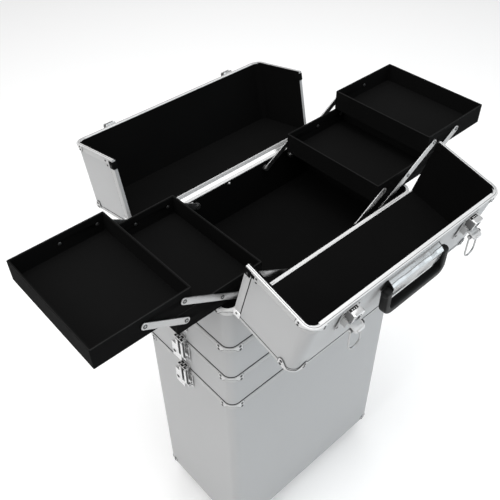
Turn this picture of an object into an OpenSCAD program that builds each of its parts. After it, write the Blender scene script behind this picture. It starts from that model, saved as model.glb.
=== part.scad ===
// Rolling makeup case: a bin and two trays stacked on wheels under a split-lid top case,
// with two pairs of cantilever trays that fan out sideways. Drawn open, as it is used.
// Millimetres. X runs along the case, the front is -Y, and Z = 0 is the floor under its centre.

/* [Case] */
// Length of the case panels along X
case_l = 360; // [330:1:420]
// Depth of the case panels along Y
case_d = 204; // [180:1:250]
// Radius of the upright corners
corner_r = 14; // [10:1:24]
// Thickness of the wall and lid panels
wall = 4; // [3:0.5:5]
// Thickness of the floors
floor_t = 4; // [3:0.5:8]
// Height of the bottom bin
bin_h = 392; // [300:1:450]
// Height of each lift-off tray
tier_h = 65; // [58:1:90]
// Height of the top case below its lids
base_h = 74; // [60:1:100]
// Height of the bin above the floor
floor_gap = 45; // [42:1:70]
// Height of the shadow gap under each lift-off piece
seam_h = 1.6; // [1:0.2:3]
// Depth of that shadow gap
seam_inset = 2; // [1:0.5:2.5]
// Thickness of the lining
lining_t = 1; // [0.6:0.1:2]

/* [Metal edges] */
// Height of the aluminium edge bands
rim_h = 10; // [6:0.5:14]
// Thickness of the aluminium edge bands
rim_t = 1.2; // [0.8:0.1:2]
// Height of the angle along the lids' outer edges
angle_h = 4.5; // [3:0.5:12]
// Thickness of that angle
angle_t = 0.8; // [0.6:0.1:1.2]
// Thickness of the corner clips
clip_t = 0.8; // [0.6:0.1:1.5]
// Height of a corner clip where it turns the corner
clip_band = 5; // [3:0.5:8]
// Length of a corner clip's riveted tab
clip_tab_l = 10; // [7:0.5:16]
// Height of a corner clip's riveted tab
clip_tab_h = 14; // [9:0.5:18]
// Diameter of the rivet heads on the clips
clip_rivet_d = 3; // [2:0.2:3.6]
// Height of those rivet heads
clip_rivet_t = 0.8; // [0.5:0.1:1.2]

/* [Lids] */
// Height of the closed lids above the top case
lid_h = 104; // [85:1:130]
// How far each lid end stands in from the case end
lid_inset = 6; // [1:0.5:8]
// Gap between the lid's lower edge and the hinge line
lid_clear = 0.8; // [0.5:0.1:2]
// Gap between the two lids when they are shut
lid_meet = 0.8; // [0.4:0.1:2]
// Angle of the open front lid from shut
front_open = 105; // [95:0.5:115]
// Angle of the open rear lid from shut
rear_open = 101.5; // [95:0.5:115]
// Length of each hinge
hinge_l = 50; // [40:1:90]
// Distance of the hinges' middles from the case's ends
hinge_in = 54; // [54:1:120]
// Knuckles on each hinge, an odd number
knuckles = 5; // [3:2:7]
// Radius of the hinge knuckles
knuckle_r = 3; // [2.5:0.1:4]
// Width of a hinge leaf from the hinge line
leaf_w = 16; // [13:0.5:24]
// Thickness of a hinge leaf
leaf_t = 1.2; // [0.8:0.1:1.6]
// Radius of the hinge pins
hinge_pin_r = 1.5; // [1:0.1:1.8]
// Reach of the tab that stops the open lid
stop_reach = 9; // [6:0.5:12]
// Thickness of that tab
stop_t = 1.6; // [1:0.1:2.5]

/* [Cantilever trays] */
// Length of a tray along X
tray_l = 134; // [120:1:140]
// Height of a tray
tray_h = 31.2; // [26:0.2:34]
// Thickness of the tray walls
tray_wall = 3; // [2:0.25:4]
// Thickness of the tray floors
tray_floor = 3; // [2:0.25:4]
// Gap between the stacked trays
stack_gap = 1; // [0.6:0.1:2]
// Gap between the inner tray and the top case
tray_lift = 3; // [1:0.5:6]
// Gap from the case middle to a folded tray
mid_gap = 3; // [2:0.5:8]
// Height of the pivots above the tray bottom
pivot_z = 18; // [14:0.5:19]
// Distance of the end pivots from the tray edge
pivot_edge = 12.5; // [9:0.5:20]

/* [Arms] */
// Sideways reach of an arm from pivot to pivot
arm_dx = 54; // [50:0.5:62]
// Width of the arms
arm_w = 10; // [9:0.5:14]
// Thickness of the arms
arm_t = 1.6; // [1.2:0.1:2]
// Gap between a tray and its arms
arm_gap = 0.6; // [0.4:0.1:1]
// Radius of the arm pins
pin_r = 2.5; // [1.5:0.1:3]
// Radius of the pin heads
pin_head_r = 4; // [3.4:0.1:4.5]
// Thickness of the pin heads
pin_head_t = 1; // [0.6:0.1:1.4]
// Radius of the studs that carry the arms
stud_r = 5; // [4:0.25:7]
// Length of the studs that carry the arms
stud_l = 4.5; // [3:0.25:8]

/* [Carry handle] */
// Length of the pivot block
carry_block_l = 96; // [80:1:100]
// Height of the pivot block
carry_block_h = 24; // [18:1:24]
// Depth of the pivot block out from the lid
carry_block_d = 14; // [12:0.5:18]
// Distance of the handle axis below the lid's rim
carry_down = 22.5; // [22.5:0.5:34]
// Distance of the handle axis out from the lid
carry_out = 9.5; // [9:0.25:11]
// Length of the grip
grip_l = 118; // [112:1:140]
// Reach of the grip from its axis
grip_drop = 37; // [34:1:60]
// Height of the grip's bar
grip_bar = 11.5; // [8:0.5:14]
// Depth of the grip
grip_d = 10; // [9:0.5:12]
// Outer corner radius of the grip
grip_r = 16; // [8:0.5:20]
// Inner corner radius of the grip
grip_inner_r = 6; // [3:0.5:10]
// Radius of the grip's pivot pins
grip_pin_r = 2.5; // [1.5:0.1:3]
// Length of those pins inside the block
grip_pin_l = 8; // [5:0.5:14]

/* [Lid latches] */
// Distance of the lid latches from the middle
latch_x = 112; // [90:1:140]
// Width of a latch's base plate
latch_plate_w = 28; // [22:1:40]
// Height of a latch's base plate
latch_plate_h = 40; // [36:1:55]
// Thickness of latch plates
latch_plate_t = 1.2; // [0.8:0.1:2]
// Distance of the base plate below the lid's rim
latch_down = 4; // [1:0.5:16]
// Width of the lock housing
lock_w = 16; // [12:0.5:20]
// Height of the lock housing
lock_h = 14; // [8:0.5:16]
// Depth of the lock housing
lock_d = 9; // [7:0.5:12]
// Width of the lock's key slot
key_slot_w = 2.4; // [1.5:0.1:4]
// Depth of the lock's key slot
key_slot_d = 2; // [1:0.25:4]
// Half height of the lever's cheeks
cheek_h = 6; // [4.5:0.25:7]
// Thickness of the lever's cheeks
cheek_t = 1.6; // [1:0.1:2.5]
// Distance of the lever axis out from the lid
lever_out = 6; // [5:0.25:8]
// Width of the lever
lever_w = 17; // [14:0.5:20]
// Length of the lever
lever_l = 17; // [16:0.5:34]
// Thickness of the lever
lever_t = 1.8; // [1.2:0.1:2.4]
// Length of the lever's finger lip
lever_lip = 3.5; // [2:0.5:8]
// Angle of the open lever out from hanging straight down
lever_lift = 60; // [30:1:75]
// Radius of the lever's barrel
barrel_r = 2.6; // [2.2:0.1:3]
// Radius of the latch pins
latch_pin_r = 1.2; // [0.8:0.1:1.5]
// Distance of the wire loop's pivot down the lever
bail_down = 10; // [9.5:0.5:14]
// Length of the wire loop from its pivot
bail_l = 36; // [28:0.5:44]
// Radius of the loop's wire
bail_wire_r = 1.1; // [0.8:0.1:1.4]
// Width of the rear lid's catch
catch_w = 16; // [8:0.5:17]
// Height of the rear lid's catch plate
catch_h = 14; // [10:0.5:20]
// Reach of the catch's hook
catch_out = 9; // [4:0.5:10]
// Distance of the catch below the rear lid's rim
catch_down = 0; // [0:0.25:4]
// Thickness of the catch's hook
catch_hook_t = 2.4; // [1.5:0.1:4]

/* [Side latches] */
// Width of a side latch's base plate
side_plate_w = 26; // [24:1:36]
// Width of the ear by which that plate reaches down to the rear
side_ear_w = 18; // [6:0.5:24]
// Distance of the ear's lower edge above the next seam down
side_ear_up = 3; // [2:0.5:20]
// Length over which the ear joins the plate
side_ear_lap = 10; // [4:0.5:20]
// Height of a side latch's base plate
side_plate_h = 38; // [36:1:48]
// Thickness of a side latch's base plate
side_plate_t = 1.2; // [0.8:0.1:2]
// Distance of the lever axis below the seam
side_axis_down = 32; // [26:0.5:34]
// Distance of the lever axis out from its plate
side_axis_out = 4; // [3.6:0.1:6]
// Width of the side lever
side_lever_w = 18; // [12:0.5:20]
// Thickness of the side lever
side_lever_t = 2; // [1.4:0.1:3]
// Height of the keeper's ledge above the seam
keeper_z = 6; // [5:0.25:10]
// Thickness of the keeper's ledge
keeper_t = 3; // [2:0.25:4]
// Reach of the keeper's ledge
keeper_out = 4.2; // [3:0.1:4.4]
// Width of the keeper
keeper_w = 16; // [10:0.5:24]
// Thickness of the lever's claw
claw_t = 2.8; // [2:0.1:4]
// Width of the ridges on the side lever
ridge_w = 3; // [2:0.25:5]
// Height of those ridges
ridge_t = 1.6; // [1:0.1:2.5]

/* [Wheels and feet] */
// Diameter of the wheels
wheel_d = 40; // [34:1:41]
// Width of the wheels
wheel_w = 18; // [14:0.5:24]
// Diameter of the wheel hubs
hub_d = 24; // [16:1:28]
// Radius of the wheel axles
axle_r = 3; // [2:0.1:4]
// Distance of the wheels from the middle along X
wheel_x = 140; // [110:1:144]
// Distance of the wheels and feet in from the long sides
wheel_in = 32; // [26:1:60]
// Thickness of the wheel forks
fork_t = 2.5; // [2:0.1:4]
// Length of a fork's plate along Y
fork_l = 40; // [30:1:50]
// Gap between a wheel and its fork
wheel_gap = 1; // [0.6:0.1:2]
// Radius of a foot at the floor
foot_r = 13; // [10:0.5:18]
// Radius of a foot at the bin
foot_top_r = 17; // [12:0.5:22]

/* [Pull handle] */
// Distance of the pull handle's tubes from the middle
tube_x = 48; // [38:1:50]
// Distance of the tubes out from the rear panel
tube_out = 13; // [11:0.5:18]
// Outer radius of the fixed tubes
tube_r = 8; // [7.5:0.25:9]
// Radius of the sliding tubes
rod_r = 6.5; // [5:0.25:6.5]
// Height of the fixed tubes' feet above the bin's floor
tube_foot = 50; // [20:1:80]
// Distance of the fixed tubes' tops below the bin's top
tube_down = 6; // [2:1:20]
// How far the pull handle slides out
pull_travel = 165; // [100:1:165]
// How far the sliding tubes stay inside at full travel
pull_overlap = 80; // [60:1:120]
// Height of the brackets
bracket_h = 18; // [12:1:30]
// Wall of the brackets around the tubes
bracket_wall = 4; // [3:0.5:6]
// Height of the grip above the bin's top
pull_grip_up = 7; // [3:0.5:10]
// Height and depth of the pull grip
pull_grip_h = 20; // [19:0.5:21]
// Overhang of the pull grip past its tubes
pull_grip_end = 13; // [10:0.5:14]
// Corner radius of the pull grip
pull_grip_r = 6; // [3:0.5:8]
// Depth of the sockets in the pull grip
socket_l = 14; // [8:0.5:16]
// Length of the release button
button_l = 24; // [16:1:40]
// Width of the release button
button_w = 8; // [6:0.5:12]
// Height of the release button
button_h = 9; // [8:0.5:12]
// Height of the button above the grip, which is a little more than its travel
button_up = 4.5; // [3:0.25:5]

/* [Clearances] */
// Gap between a panel and the trim on it
skin_gap = 0.05; // [0.02:0.01:0.2]
// Radial clearance of the running fits
run_gap = 0.06; // [0.03:0.01:0.1]
// Side clearance between moving pieces
side_gap = 0.3; // [0.2:0.05:0.6]

/* [Hidden] */
$fn = 48;
over = 1;

// Heights of the stack
bin_z = floor_gap;
seam_bin = bin_z + bin_h;
seam_lower = seam_bin + tier_h;
seam_middle = seam_lower + tier_h;
rim_z = seam_middle + base_h;
SEAMS = [seam_middle, seam_lower, seam_bin];

// Lids, drawn lying open: the hinge line is local y = 0, z = 0, and the outer wall is at y = -lid_h
hinge_y = case_d/2 + rim_t + skin_gap + knuckle_r;
lid_l = case_l - 2*lid_inset;
lid_floor_z = knuckle_r + skin_gap;
lid_w = hinge_y - lid_floor_z - lid_meet/2;
lid_top = lid_floor_z + lid_w;
lid_face = -lid_h - skin_gap;
hinge_x = case_l/2 - hinge_in;
knuckle_pitch = hinge_l/knuckles;

// Arms and trays, drawn on the right side and mirrored to the left
arm_dz = tray_h + stack_gap;
arm_reach = norm([arm_dx, arm_dz]);
arm_angle = atan2(arm_dz, arm_dx);
pivot_pitch = tray_l/2 - pivot_edge;
inner_x = tray_l/2 + mid_gap + 2*arm_dx;
inner_z = rim_z + tray_lift;
outer_x = inner_x + arm_dx + pivot_pitch;
outer_z = inner_z + arm_dz;
long_base_x = inner_x - arm_dx;
lower_base_x = long_base_x - pivot_pitch;
base_pivot_z = inner_z + pivot_z - arm_dz;
tray_w = case_d - 2*(wall + skin_gap + stud_l + side_gap + arm_t + arm_gap);
arm_face = tray_w/2 + arm_gap;

// Latches
latch_face = lid_face - rim_t - skin_gap;
lever_axis_w = lid_top - latch_down - lock_h - cheek_h;
side_face = case_l/2 + rim_t + skin_gap;
side_axis_x = side_face + side_plate_t + side_axis_out;
side_lever_top = keeper_z + side_gap + claw_t;
side_cheek_y = side_lever_w/2 + side_gap;

// Wheels and pull handle
wheel_y = case_d/2 - wheel_in;
fork_x = wheel_w/2 + wheel_gap;
tube_y = case_d/2 + tube_out;
tube_z = bin_z + tube_foot;
tube_top = seam_bin - tube_down;
pull_grip_z = seam_bin + pull_grip_up;
rod_top = pull_grip_z + socket_l - skin_gap;
rod_l = pull_travel + pull_overlap;
pull_grip_l = 2*(tube_x + pull_grip_end);

// Helpers

// Cylinder along X or Y, centred on its axis and starting at the origin
module x_rod(r, l) { rotate([0, 90, 0]) cylinder(r = r, h = l); }
module y_rod(r, l) { rotate([-90, 0, 0]) cylinder(r = r, h = l); }

// Rectangle with round corners, centred
module rounded(l, d, r) {
    square([l - 2*r, d], center = true);
    square([l, d - 2*r], center = true);
    for (x = [-1, 1], y = [-1, 1])
        translate([x*(l/2 - r), y*(d/2 - r)]) circle(r);
}

// Plan of the case, grown or shrunk all round
module outline(grow) { rounded(case_l + 2*grow, case_d + 2*grow, corner_r + grow); }

module ring(outer, inner) {
    difference() {
        outline(outer);
        outline(inner);
    }
}

// Plan of a lid: round corners on the outer wall, open along the hinge
module lid_block(grow) { rounded(lid_l + 2*grow, 2*(lid_h + grow), corner_r + grow); }

module lid_outline(grow) {
    intersection() {
        lid_block(grow);
        translate([-lid_l, -2*lid_h]) square([2*lid_l, 2*lid_h - lid_clear]);
    }
}

module lid_ring(outer, inner) {
    difference() {
        lid_outline(outer);
        lid_block(inner);
    }
}

module left_and_right() {
    children();
    mirror([1, 0, 0]) children();
}

module front_and_rear() {
    children();
    mirror([0, 1, 0]) children();
}

module at_front_lid() {
    translate([0, -hinge_y, rim_z]) rotate([front_open - 90, 0, 0]) children();
}

module at_rear_lid() {
    mirror([0, 1, 0]) translate([0, -hinge_y, rim_z]) rotate([rear_open - 90, 0, 0]) children();
}

// Point on an open lid as [outward, up] from the hinge line
function lid_point(v, w, open) = [v*sin(open) - w*cos(open), v*cos(open) + w*sin(open)];

// Bin, lift-off trays and top case

// Open box that stands on a shadow gap, with room on top for its rim's lip
module tub(z, h) {
    translate([0, 0, z]) difference() {
        union() {
            linear_extrude(seam_h) outline(-seam_inset);
            translate([0, 0, seam_h]) linear_extrude(h - rim_t - skin_gap - seam_h) outline(0);
        }
        translate([0, 0, floor_t]) linear_extrude(h) outline(-wall);
    }
}

// Edge band with a lip over the wall, its top at z
module rim_band(z) {
    translate([0, 0, z - rim_h]) linear_extrude(rim_h) ring(rim_t, skin_gap);
    translate([0, 0, z - rim_t]) linear_extrude(rim_t) ring(rim_t, -wall);
}

module bin_walls() { color("silver") tub(bin_z, bin_h); }
module lower_tray_walls() { color("silver") tub(seam_bin, tier_h); }
module middle_tray_walls() { color("silver") tub(seam_lower, tier_h); }
module top_case_walls() { color("silver") tub(seam_middle, base_h); }

module top_case_lining() {
    color([0.04, 0.04, 0.04]) difference() {
        translate([0, 0, seam_middle + floor_t + skin_gap]) difference() {
            linear_extrude(base_h - floor_t - rim_t - 2*skin_gap) outline(-wall - skin_gap);
            translate([0, 0, lining_t]) linear_extrude(base_h) outline(-wall - skin_gap - lining_t);
        }
        for (x = [long_base_x, lower_base_x])
            left_and_right() translate([x, -case_d/2, base_pivot_z]) y_rod(stud_r + skin_gap, case_d);
    }
}

module stack_rims() {
    color("gainsboro") for (z = SEAMS) rim_band(z);
}

module top_case_rim() { color("gainsboro") rim_band(rim_z); }

// Clip round one corner of an l by d by r plan, its top at z = 0, with two riveted tabs
module corner_clip(l, d, r) {
    tab_start = [l/2 - r - clip_tab_l, d/2 - r - clip_tab_l];
    difference() {
        translate([0, 0, -clip_tab_h]) linear_extrude(clip_tab_h) intersection() {
            difference() {
                rounded(l + 2*clip_t, d + 2*clip_t, r + clip_t);
                rounded(l, d, r);
            }
            translate(tab_start) square(r + clip_tab_l + 2*clip_t);
        }
        translate([l/2 - r, d/2 - r, -clip_tab_h - over])
            cube([r + over + clip_t, r + over + clip_t, clip_tab_h - clip_band + over]);
    }
    for (z = [-clip_tab_h/4, -3*clip_tab_h/4]) {
        translate([l/2 - r - clip_tab_l/2, d/2 + clip_t/2, z])
            y_rod(clip_rivet_d/2, clip_t/2 + clip_rivet_t);
        translate([l/2 + clip_t/2, d/2 - r - clip_tab_l/2, z])
            x_rod(clip_rivet_d/2, clip_t/2 + clip_rivet_t);
    }
}

// The clip on all four corners of the case plan grown by grow
module case_clips(grow) {
    left_and_right() front_and_rear()
        corner_clip(case_l + 2*grow, case_d + 2*grow, corner_r + grow);
}

module corner_clips() {
    color("white") for (z = concat([rim_z], SEAMS))
        translate([0, 0, z]) case_clips(rim_t + skin_gap);
}

module bottom_corner_guards() {
    color("white") translate([0, 0, bin_z + seam_h]) mirror([0, 0, 1]) case_clips(skin_gap);
}

// Hinges, with the hinge line along X through the origin and the case on the +Y side

module knuckle_row(first) {
    for (i = [first : 2 : knuckles - 1])
        translate([-hinge_l/2 + i*knuckle_pitch + side_gap/2, 0, 0]) children();
}

module knuckle() { x_rod(knuckle_r, knuckle_pitch - side_gap); }

module hinge_base_leaf(open) {
    leaf_y = knuckle_r - leaf_t;
    root_y = -leaf_y - leaf_t/2;
    stop_w = knuckle_r - leaf_t - side_gap;
    translate([-hinge_l/2, leaf_y, -leaf_w])
        cube([hinge_l, leaf_t, leaf_w - knuckle_r - side_gap]);
    knuckle_row(0) {
        knuckle();
        translate([0, leaf_y, -leaf_w]) cube([knuckle_pitch - side_gap, leaf_t, leaf_w]);
    }
    translate([-hinge_l/2 + side_gap/2, 0, 0]) x_rod(hinge_pin_r, hinge_l - side_gap);
    // Tab that the open lid's leaf comes down on
    translate([-knuckle_pitch/2 + side_gap/2, 0, 0]) rotate([90, 0, 90])
        linear_extrude(knuckle_pitch - side_gap) mirror([1, 0]) polygon([
            [root_y, -leaf_w + leaf_t], [root_y, -knuckle_r],
            lid_point(stop_reach/2, stop_w, open), lid_point(stop_reach, stop_w, open),
            lid_point(stop_reach, stop_w - stop_t, open)
        ]);
}

module hinge_lid_leaf() {
    difference() {
        union() {
            translate([-hinge_l/2, -leaf_w, knuckle_r - leaf_t])
                cube([hinge_l, leaf_w - knuckle_r - side_gap, leaf_t]);
            knuckle_row(1) {
                knuckle();
                translate([0, -leaf_w, knuckle_r - leaf_t]) cube([knuckle_pitch - side_gap, leaf_w, leaf_t]);
            }
        }
        translate([-hinge_l/2 - over, 0, 0]) x_rod(hinge_pin_r + run_gap, hinge_l + 2*over);
    }
}

module hinge_base_leaves() {
    color("lightgray") left_and_right() translate([hinge_x, 0, rim_z]) {
        translate([0, -hinge_y, 0]) hinge_base_leaf(front_open);
        mirror([0, 1, 0]) translate([0, -hinge_y, 0]) hinge_base_leaf(rear_open);
    }
}

module hinge_lid_leaves() {
    color("lightgray") left_and_right() translate([hinge_x, 0, 0]) hinge_lid_leaf();
}

module front_hinge_lid_leaves() { at_front_lid() hinge_lid_leaves(); }
module rear_hinge_lid_leaves() { at_rear_lid() hinge_lid_leaves(); }

// Lids

module lid_shell() {
    color("silver") translate([0, 0, lid_floor_z]) difference() {
        linear_extrude(lid_w - rim_t - skin_gap) lid_outline(0);
        translate([0, 0, wall]) linear_extrude(lid_w) lid_block(-wall);
    }
}

module lid_lining() {
    inset = wall + skin_gap;
    color([0.04, 0.04, 0.04]) translate([0, 0, lid_floor_z + inset]) difference() {
        linear_extrude(lid_w - inset - rim_t - skin_gap) lid_outline(-inset);
        translate([0, 0, lining_t]) linear_extrude(lid_w) lid_block(-inset - lining_t);
    }
}

module lid_rim() {
    color("gainsboro") {
        translate([0, 0, lid_top - rim_h]) linear_extrude(rim_h) lid_ring(rim_t, skin_gap);
        translate([0, 0, lid_top - rim_t]) linear_extrude(rim_t) lid_ring(rim_t, -wall);
        translate([0, 0, lid_floor_z]) linear_extrude(angle_h) lid_ring(angle_t + skin_gap, skin_gap);
        left_and_right() translate([lid_l/2 + skin_gap, -lid_clear - rim_h, lid_floor_z])
            cube([angle_t, rim_h, lid_w]);
    }
}

module lid_clips() {
    top = rim_t + skin_gap;
    bottom = angle_t + 2*skin_gap;
    color("white") left_and_right() mirror([0, 1, 0]) {
        translate([0, 0, lid_top])
            corner_clip(lid_l + 2*top, 2*(lid_h + top), corner_r + top);
        translate([0, 0, lid_floor_z]) mirror([0, 0, 1])
            corner_clip(lid_l + 2*bottom, 2*(lid_h + bottom), corner_r + bottom);
    }
}

module front_lid_shell() { at_front_lid() lid_shell(); }
module front_lid_lining() { at_front_lid() lid_lining(); }
module front_lid_rim() { at_front_lid() lid_rim(); }
module front_lid_corner_clips() { at_front_lid() lid_clips(); }
module rear_lid_shell() { at_rear_lid() lid_shell(); }
module rear_lid_lining() { at_rear_lid() lid_lining(); }
module rear_lid_rim() { at_rear_lid() lid_rim(); }
module rear_lid_corner_clips() { at_rear_lid() lid_clips(); }

// Carry handle on the front lid

module at_carry_axis() {
    at_front_lid() translate([0, lid_face - carry_out, lid_top - carry_down]) children();
}

module carry_handle_plate() {
    color("whitesmoke") at_carry_axis() difference() {
        translate([-carry_block_l/2, carry_out - carry_block_d, -carry_block_h/2])
            cube([carry_block_l, carry_block_d, carry_block_h]);
        translate([-carry_block_l/2 - over, 0, 0])
            x_rod(grip_pin_r + run_gap, grip_pin_l + 2*side_gap + over);
        translate([carry_block_l/2 - grip_pin_l - 2*side_gap, 0, 0])
            x_rod(grip_pin_r + run_gap, grip_pin_l + 2*side_gap + over);
    }
}

// The grip hangs straight down from its axis
module carry_handle_grip() {
    arm = (grip_l - carry_block_l)/2 - side_gap;
    color([0.06, 0.06, 0.06]) at_carry_axis() rotate([90 - front_open, 0, 0]) {
        rotate([90, 0, 0]) translate([0, 0, -grip_d/2]) linear_extrude(grip_d) {
            difference() {
                rounded(grip_l, 2*grip_drop, grip_r);
                rounded(grip_l - 2*arm, 2*(grip_drop - grip_bar), grip_inner_r);
                translate([-grip_l, 0]) square([2*grip_l, 2*grip_drop]);
            }
            for (x = [-1, 1]) translate([x*(grip_l - arm)/2, 0]) circle(arm/2);
        }
        left_and_right() translate([carry_block_l/2 - grip_pin_l + side_gap, 0, 0])
            x_rod(grip_pin_r, grip_pin_l + arm/2);
    }
}

// Lid latches

module at_lid_latch() {
    at_front_lid() translate([latch_x, latch_face - lever_out, lever_axis_w]) children();
}

module lid_latch_base() {
    cheek_x = lever_w/2 + side_gap;
    plate_z = lid_top - latch_down - latch_plate_h - lever_axis_w;
    translate([-latch_plate_w/2, lever_out - latch_plate_t, plate_z])
        cube([latch_plate_w, latch_plate_t, latch_plate_h]);
    difference() {
        translate([-lock_w/2, lever_out - lock_d, cheek_h]) cube([lock_w, lock_d, lock_h]);
        translate([-key_slot_w/2, lever_out - lock_d - over, cheek_h + lock_h/4])
            cube([key_slot_w, key_slot_d + over, lock_h/2]);
    }
    left_and_right() translate([cheek_x, -barrel_r, -cheek_h])
        cube([cheek_t, lever_out + barrel_r, 2*cheek_h]);
    translate([-cheek_x - cheek_t, 0, 0]) x_rod(latch_pin_r, 2*(cheek_x + cheek_t));
}

module lid_latch_bases() {
    color("lightgray") {
        at_lid_latch() lid_latch_base();
        mirror([1, 0, 0]) at_lid_latch() lid_latch_base();
    }
}

module at_lid_lever() {
    at_lid_latch() rotate([90 - front_open - lever_lift, 0, 0]) children();
}

// The open lever stands out from the lid, and its wire loop hangs straight down
module lid_latch_lever() {
    bail_x = lever_w/2 + 2*side_gap + 2*bail_wire_r;
    color("lightgray") at_lid_lever() difference() {
        union() {
            translate([-lever_w/2, 0, 0]) x_rod(barrel_r, lever_w);
            translate([-lever_w/2, -barrel_r, -lever_l]) cube([lever_w, lever_t, lever_l]);
            translate([-lever_w/2, -barrel_r - lever_lip, -lever_l]) cube([lever_w, lever_lip + lever_t, lever_t]);
            translate([-lever_w/2, -barrel_r, -bail_down]) cube([lever_w, barrel_r, 2*latch_pin_r]);
            translate([-bail_x, 0, -bail_down]) x_rod(latch_pin_r, 2*bail_x);
        }
        translate([-lever_w, 0, 0]) x_rod(latch_pin_r + run_gap, 2*lever_w);
    }
}

module lid_latch_bail() {
    eye_r = latch_pin_r + run_gap + bail_wire_r;
    leg_x = lever_w/2 + side_gap + bail_wire_r;
    leg_l = bail_l - leg_x;
    eye_t = 2*bail_wire_r + 4*skin_gap;
    color("gainsboro") at_lid_lever() translate([0, 0, -bail_down]) rotate([lever_lift, 0, 0]) {
        difference() {
            left_and_right() {
                translate([leg_x - eye_t/2, 0, 0]) x_rod(eye_r, eye_t);
                translate([leg_x, 0, -leg_l]) cylinder(r = bail_wire_r, h = leg_l);
            }
            translate([-2*leg_x, 0, 0]) x_rod(latch_pin_r + run_gap, 4*leg_x);
        }
        translate([0, 0, -leg_l]) rotate([-90, 0, 0]) rotate_extrude(angle = 180)
            translate([leg_x, 0]) circle(bail_wire_r);
    }
}

module right_lid_latch_lever() { lid_latch_lever(); }
module left_lid_latch_lever() { mirror([1, 0, 0]) lid_latch_lever(); }
module right_lid_latch_bail() { lid_latch_bail(); }
module left_lid_latch_bail() { mirror([1, 0, 0]) lid_latch_bail(); }

module lid_latch_catches() {
    color("lightgray") at_rear_lid() left_and_right() translate([latch_x, latch_face, lid_top - catch_down]) {
        translate([-catch_w/2, -latch_plate_t, -catch_h]) cube([catch_w, latch_plate_t, catch_h]);
        translate([-catch_w/2, -catch_out, -catch_hook_t]) cube([catch_w, catch_out, catch_hook_t]);
        translate([-catch_w/2, -catch_out, -2*catch_hook_t]) cube([catch_w, catch_hook_t, 2*catch_hook_t]);
    }
}

// Cantilever trays and arms

// Tray centred on x with its bottom at z, drilled for arm pins at x + each of pivots
module tray(x, z, pivots) {
    color([0.05, 0.05, 0.05]) translate([x, 0, z]) difference() {
        translate([-tray_l/2, -tray_w/2, 0]) cube([tray_l, tray_w, tray_h]);
        translate([tray_wall - tray_l/2, tray_wall - tray_w/2, tray_floor])
            cube([tray_l - 2*tray_wall, tray_w - 2*tray_wall, tray_h]);
        for (p = pivots) translate([p, -tray_w/2 - over, pivot_z])
            y_rod(pin_r + run_gap, tray_w + 2*over);
    }
}

module inner_tray() { tray(inner_x, inner_z, [-pivot_pitch, 0, pivot_pitch]); }
module outer_tray() { tray(outer_x, outer_z, [-pivot_pitch, 0]); }

module right_inner_tray() { inner_tray(); }
module left_inner_tray() { mirror([1, 0, 0]) inner_tray(); }
module right_outer_tray() { outer_tray(); }
module left_outer_tray() { mirror([1, 0, 0]) outer_tray(); }

// Pin from the front of an arm through the tray wall, headed at both ends
module arm_pin() {
    shank = arm_gap + tray_wall + side_gap;
    translate([0, -arm_t, 0]) y_rod(pin_r, arm_t + shank);
    translate([0, -arm_t - pin_head_t, 0]) y_rod(pin_head_r, pin_head_t);
    translate([0, shank, 0]) y_rod(pin_head_r, pin_head_t);
}

// Flat strip from the origin along X with round ends, pins at pins_at and bores at bores_at
module arm_strip(reach, pins_at, bores_at) {
    difference() {
        union() {
            rotate([90, 0, 0]) linear_extrude(arm_t) {
                translate([0, -arm_w/2]) square([reach, arm_w]);
                for (x = [0, reach]) translate([x, 0]) circle(arm_w/2);
            }
            for (x = pins_at) translate([x, 0, 0]) arm_pin();
        }
        for (x = bores_at) translate([x, -arm_t - over, 0]) y_rod(pin_r + run_gap, arm_t + 2*over);
    }
}

// A front and a rear strip swung out from the pivot at x, z
module arm_pair(x, z, reach, pins_at, bores_at) {
    color("gainsboro") front_and_rear() translate([x, -arm_face, z]) rotate([0, -arm_angle, 0])
        arm_strip(reach, pins_at, bores_at);
}

module long_arms() {
    arm_pair(long_base_x, base_pivot_z, 2*arm_reach, [arm_reach, 2*arm_reach], [0]);
}

module lower_arms() {
    arm_pair(lower_base_x, base_pivot_z, arm_reach, [arm_reach], [0]);
}

module upper_arms() {
    arm_pair(inner_x + pivot_pitch, inner_z + pivot_z, arm_reach, [0, arm_reach], []);
}

module right_long_arms() { long_arms(); }
module left_long_arms() { mirror([1, 0, 0]) long_arms(); }
module right_lower_arms() { lower_arms(); }
module left_lower_arms() { mirror([1, 0, 0]) lower_arms(); }
module right_upper_arms() { upper_arms(); }
module left_upper_arms() { mirror([1, 0, 0]) upper_arms(); }

// Stud from the top case's wall: a boss, a pin through the arm and a head inside it
module arm_pivot_stud() {
    wall_y = -case_d/2 + wall + skin_gap;
    arm_y = wall_y + stud_l;
    head_y = -arm_face + side_gap;
    translate([0, wall_y, 0]) y_rod(stud_r, stud_l);
    translate([0, arm_y, 0]) y_rod(pin_r, head_y - arm_y);
    translate([0, head_y, 0]) y_rod(pin_head_r, pin_head_t);
}

module arm_pivot_studs() {
    color("lightgray") left_and_right() front_and_rear() for (x = [long_base_x, lower_base_x])
        translate([x, 0, base_pivot_z]) arm_pivot_stud();
}

// Side latches on the case ends, drawn on the right end

module on_ends() {
    for (z = SEAMS) left_and_right() translate([0, 0, z]) children();
}

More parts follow.
